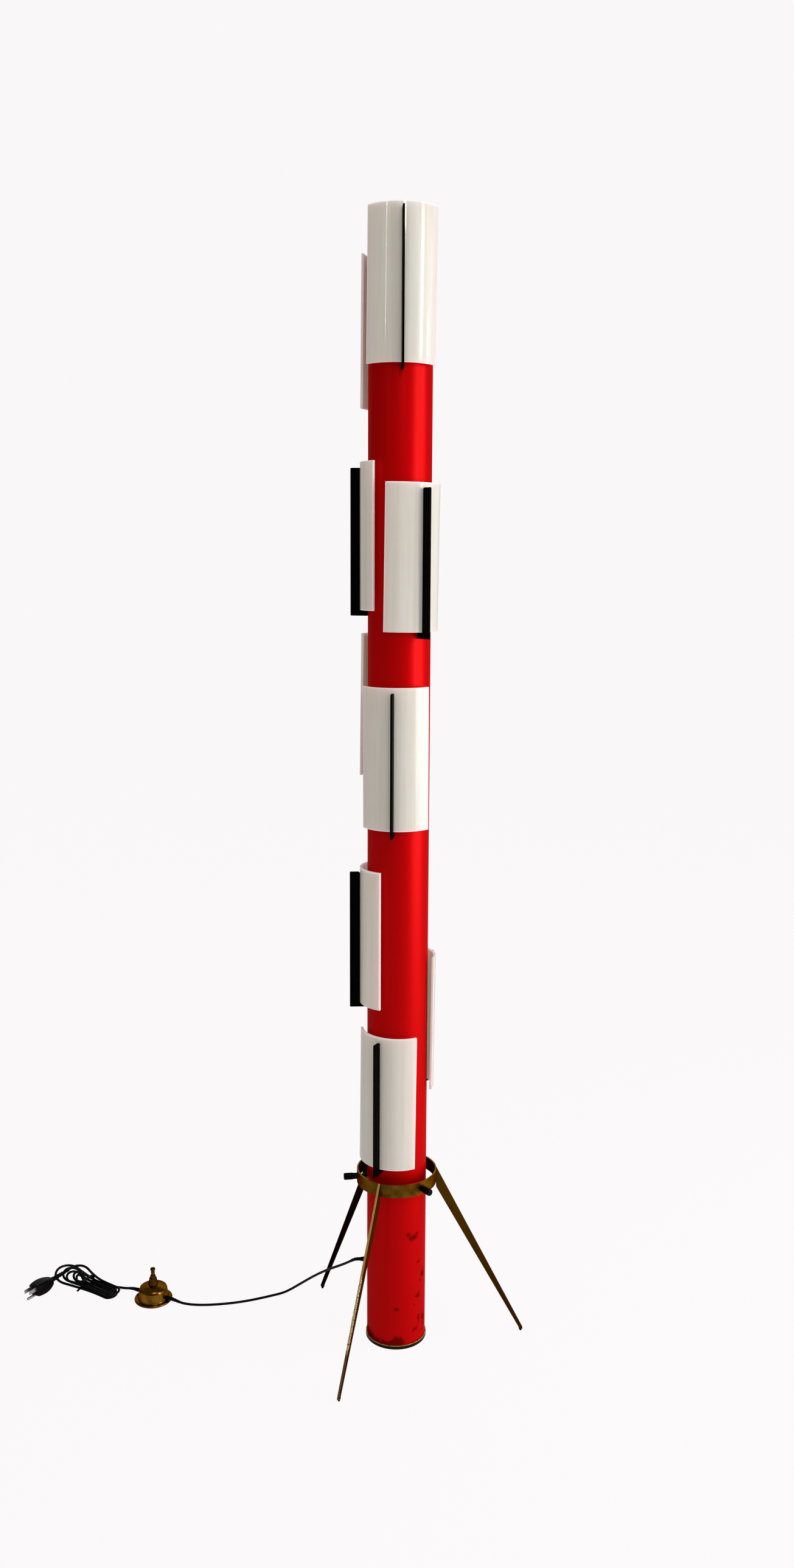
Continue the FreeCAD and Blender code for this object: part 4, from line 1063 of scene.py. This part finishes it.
def boot(name, node, places, size, material):
    """A tapered, ribbed sleeve along the start of a cord's line, closed at both ends"""
    length, base_radius = size
    line = [places[0]]
    travelled = [0.0]
    for place in places[1:]:
        travelled.append(travelled[-1] + (place - line[-1]).length)
        line.append(place)
    steps = BOOT_RIBS * RIB_STEPS + 2
    rings = []
    for k in range(steps + 1):
        reach = length * k / steps
        i = next(n for n, way in enumerate(travelled) if way >= reach and n > 0)
        share = (reach - travelled[i - 1]) / (travelled[i] - travelled[i - 1])
        centre = line[i - 1].lerp(line[i], share)
        heading = (line[i] - line[i - 1]).normalized()
        radius = base_radius + (BOOT_TIP - base_radius) * k / steps
        if 2 < k < steps - 1:
            radius -= RIB_DEPTH * (0.5 - 0.5 * math.cos(math.tau * (k - 2) / RIB_STEPS))
        rings.append((centre, heading, max(radius, CORD_RADIUS + BOOT_WALL)))
    work = bmesh.new()
    loops = []
    for centre, heading, radius in rings:
        turn = along_axis(centre, heading)
        angles = [math.tau * n / BOOT_SIDES for n in range(BOOT_SIDES)]
        loops.append([work.verts.new(turn @ Vector((radius * math.cos(a), radius * math.sin(a), 0)))
                      for a in angles])
    for one, other in zip(loops, loops[1:]):
        for n in range(BOOT_SIDES):
            m = (n + 1) % BOOT_SIDES
            work.faces.new((one[n], one[m], other[m], other[n]))
    work.faces.new(loops[0][::-1])
    work.faces.new(loops[-1])
    bmesh.ops.recalc_face_normals(work, faces=work.faces)
    mesh = bpy.data.meshes.new(name)
    work.to_mesh(mesh)
    work.free()
    for face in mesh.polygons:
        face.use_smooth = len(face.vertices) == 4
    piece = add_object(name, mesh)
    return give(piece, node, material)


def bundle_tie(material):
    """The tie, drawn in round the bundle"""
    piece = finished("cord_tie", material, edge=0.2 * MM)
    piece.data.transform(scaled_in(HANK_TURN, 1, TIE_DRAWN_IN, TIE_RISE))
    return piece


def column_cord(material, rubber):
    points = [Vector(p) * MM for p in CORD_TO_SWITCH_ROUTE]
    points += [entry_end(ENTRY_DIRECTIONS[0], 6 * MM), entry_end(ENTRY_DIRECTIONS[0])]
    piece = smooth_route("column_cord", points, CORD_RADIUS)
    give(piece, "cord_to_switch", material)
    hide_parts("cord_to_switch")
    line = line_points(piece)
    reliefs = [boot("outlet_boot", "cord_outlet", line, OUTLET_BOOT, rubber),
               boot("switch_boot_right", "switch_cord_entries", line[::-1], SWITCH_BOOT, rubber)]
    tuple(points[0])
    length_of(line)


def mains_cord(material, rubber):
    points = [entry_end(ENTRY_DIRECTIONS[1]), entry_end(ENTRY_DIRECTIONS[1], 8 * MM)]
    points += [Vector(p) * MM for p in CORD_TO_HANK_ROUTE]
    points += hank_places()
    piece = smooth_route("mains_cord", points, CORD_RADIUS)
    give(piece, "cord_hank", material)
    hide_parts("cord_to_hank", "cord_hank")
    line = line_points(piece)
    relief = boot("switch_boot_left", "switch_cord_entries", line, SWITCH_BOOT, rubber)
    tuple(points[0])
    length_of(line)


# Floor, backdrop and lights

FLOOR_FRONT = -12.0
FLOOR_BACK = 9.0
SWEEP_RADIUS = 2.0
WALL_TOP = 12.0
STAGE_HALF_WIDTH = 14.0


def stage():
    """A plain floor that curves up into a backdrop"""
    work = bmesh.new()
    profile = [(FLOOR_FRONT, 0.0), (FLOOR_BACK, 0.0)]
    for degrees in range(9, 91, 9):
        a = math.radians(degrees)
        profile.append((FLOOR_BACK + SWEEP_RADIUS * math.sin(a),
                        SWEEP_RADIUS - SWEEP_RADIUS * math.cos(a)))
    profile.append((FLOOR_BACK + SWEEP_RADIUS, WALL_TOP))
    rows = [[work.verts.new((x, y, z)) for y, z in profile]
            for x in (-STAGE_HALF_WIDTH, STAGE_HALF_WIDTH)]
    for k in range(len(profile) - 1):
        work.faces.new((rows[0][k], rows[1][k], rows[1][k + 1], rows[0][k + 1]))
    mesh = bpy.data.meshes.new("studio_sweep")
    work.to_mesh(mesh)
    work.free()
    for face in mesh.polygons:
        face.use_smooth = True
    sweep = add_object("studio_sweep", mesh)
    s = Shader("studio_paper")
    path = s.node("ShaderNodeLightPath")
    seen = Value(s, path.outputs["Is Camera Ray"]) * 0.93
    seen = seen.math("MAXIMUM", Value(s, path.outputs["Is Glossy Ray"]) * 0.16)
    seen = seen.math("MAXIMUM", Value(s, path.outputs["Is Transmission Ray"]) * 0.90)
    paper = s.out("ShaderNodeBsdfDiffuse", values={"Color": (0.62, 0.61, 0.61, 1)})
    glow = s.out("ShaderNodeEmission", values={"Color": (1.0, 0.982, 0.990, 1), "Strength": 1.0})
    mixed = s.out("ShaderNodeMixShader", values={0: seen, 1: paper, 2: glow})
    s.tree.links.new(mixed.socket, s.output.inputs[0])
    sweep.data.materials.append(s.material)


# Name, place, target, size, watts and, where it isn't white, colour
LIGHTS = [
    ("window_high", (2.25, -1.10, 2.205), (0, 0, 1.90), (0.40, 0.46), 4.5, (1.0, 0.985, 0.97)),
    ("window_low", (2.25, -1.10, 1.465), (0, 0, 1.25), (0.40, 0.90), 6, (1.0, 0.985, 0.97)),
    ("wall_right", (2.43, -0.60, 1.45), (0, 0, 1.20), (2.4, 1.9), 19.5),
    ("glint_right", (2.49, -0.12, 1.92), (0, 0, 1.58), (0.30, 0.34), 4.5, (1.0, 0.97, 0.97)),
    ("low_right", (2.15, -0.55, 0.60), (0, 0, 0.25), (1.6, 1.0), 15),
    ("strip_left", (-1.45, -1.65, 2.25), (0, 0, 1.7), (0.035, 0.5), 1.1, (1.0, 0.95, 0.82)),
    ("small_front", (0.35, -1.9, 2.3), (-0.3, 0, 0.1), (0.16, 0.16), 4.0, (1.0, 0.96, 0.88)),
    ("top", (0.2, -0.6, 3.4), (0, 0, 0.5), (1.2, 1.2), 10),
]


def soft_light(name, place, target, size, power, colour=(1, 1, 1)):
    data = bpy.data.lights.new(name, "AREA")
    data.shape = "RECTANGLE"
    data.size, data.size_y = size
    data.energy = power
    data.color = colour
    lamp = add_object(name, data)
    lamp.location = place
    aim = Vector(target) - Vector(place)
    lamp.rotation_euler = aim.to_track_quat("-Z", "Y").to_euler()


def lights():
    world = bpy.data.worlds.new("studio")
    bpy.context.scene.world = world
    world.use_nodes = True
    tree = world.node_tree
    path = tree.nodes.new("ShaderNodeLightPath")
    level = tree.nodes.new("ShaderNodeMix")
    level.inputs[2].default_value = 0.50
    level.inputs[3].default_value = 0.09
    tree.links.new(path.outputs["Is Glossy Ray"], level.inputs[0])
    seen = tree.nodes.new("ShaderNodeMix")
    seen.inputs[3].default_value = 0.96
    tree.links.new(path.outputs["Is Camera Ray"], seen.inputs[0])
    tree.links.new(level.outputs[0], seen.inputs[2])
    tree.links.new(seen.outputs[0], tree.nodes["Background"].inputs["Strength"])
    tree.nodes["Background"].inputs["Color"].default_value = (1.0, 0.985, 0.975, 1)
    for light in LIGHTS:
        soft_light(*light)


# The whole lamp

photo_camera()
lights()
stage()

red = red_lacquer()
sheet_white = opal_acrylic()
edge_painted_glow = acrylic_edge()
collar_brass = aged_brass("aged_brass", (0.075, 0.028, 0.002), (0.24, 0.115, 0.012), 0.55, 0.36)
switch_brass = aged_brass("switch_brass", (0.060, 0.022, 0.0015), (0.36, 0.170, 0.020), 0.55, 0.17)
stem_bronze = aged_brass("stem_bronze", (0.012, 0.004, 0.001), (0.13, 0.055, 0.006), 0.5, 0.20)
# The collar's inner face: painted shade with a painted red reflection of the column
painted_collar_shade = moulded_black("collar_inside_painted_shade", 0.016, 0.7, (1.0, 0.18, 0.06), 0.0)
# The collar's top faces, painted brighter as a highlight
top_highlight_brass = aged_brass("collar_top_edge", (0.20, 0.095, 0.008), (0.60, 0.36, 0.08), 0.3, 0.22)
# The rear leg is painted darker than the others as shade
rear_leg_painted_shade = leg_bronze("rear_leg_painted_shade", (0.024, 0.0045, 0.002),
                            (0.014, 0.0025, 0.0012), 0.45, 0.7)
leg_brass = leg_bronze("leg_brass", (0.105, 0.046, 0.0015), (0.060, 0.019, 0.0010), 0.38, 0.7)
highlit_edge_brass = filed_edge()
filler = brazing_metal()
cap_brass = foot_cap_brass()
paint = black_paint()
plastic = moulded_black("moulded_plastic", 0.0016, 0.34)
rubber = moulded_black("black_rubber", 0.002, 0.50)
jacket = cord_jacket()
steel = plated_steel()
dark_steel_and_shade = blackened_steel()
glass = frosted_glass()
holder = holder_plastic()

column_tube(red)
finished("foot_cap", cap_brass)
finished("top_cap", paint, edge=0.2 * MM)
for number in range(1, 10):
    finished(f"fin_{number}", paint, edge=0.25 * MM)
    shade(number, sheet_white, edge_painted_glow)
    finished(f"bulb_{number}", glass, edge=0.2 * MM)
finished("holder_brackets", steel, edge=0.15 * MM)
finished("lamp_holders", holder, edge=0.2 * MM)
finished("cord_outlet", rubber)
collar_ring(collar_brass, painted_collar_shade, top_highlight_brass)
# The bosses are brass, finished in dark steel as painted shade
finished("thumbscrew_bosses", dark_steel_and_shade)
for number in (1, 2, 3):
    leg(number, rear_leg_painted_shade if number == 3 else leg_brass, highlit_edge_brass if number == 1 else None)
    finished(f"thumbscrew_stud_{number}", dark_steel_and_shade, edge=0.2 * MM)
    screw_knob(number, plastic)
    knob_flutes(number, plastic)
braze_bead(filler)
finished("leg_tips", rubber)
switch = [finished("switch_base", plastic, edge=0.2 * MM),
          switch_housing(switch_brass),
          finished("switch_bush", stem_bronze),
          finished("switch_plunger", stem_bronze),
          switch_coil(steel),
          finished("switch_cord_entries", rubber)]
plug = [slim_plug("plug_body", plastic),
        finished("plug_blades", steel, edge=0.2 * MM),
        bundle_tie(plastic)]
column_cord(jacket, rubber)
mains_cord(jacket, rubber)

bpy.context.scene.view_settings.view_transform = "Standard"
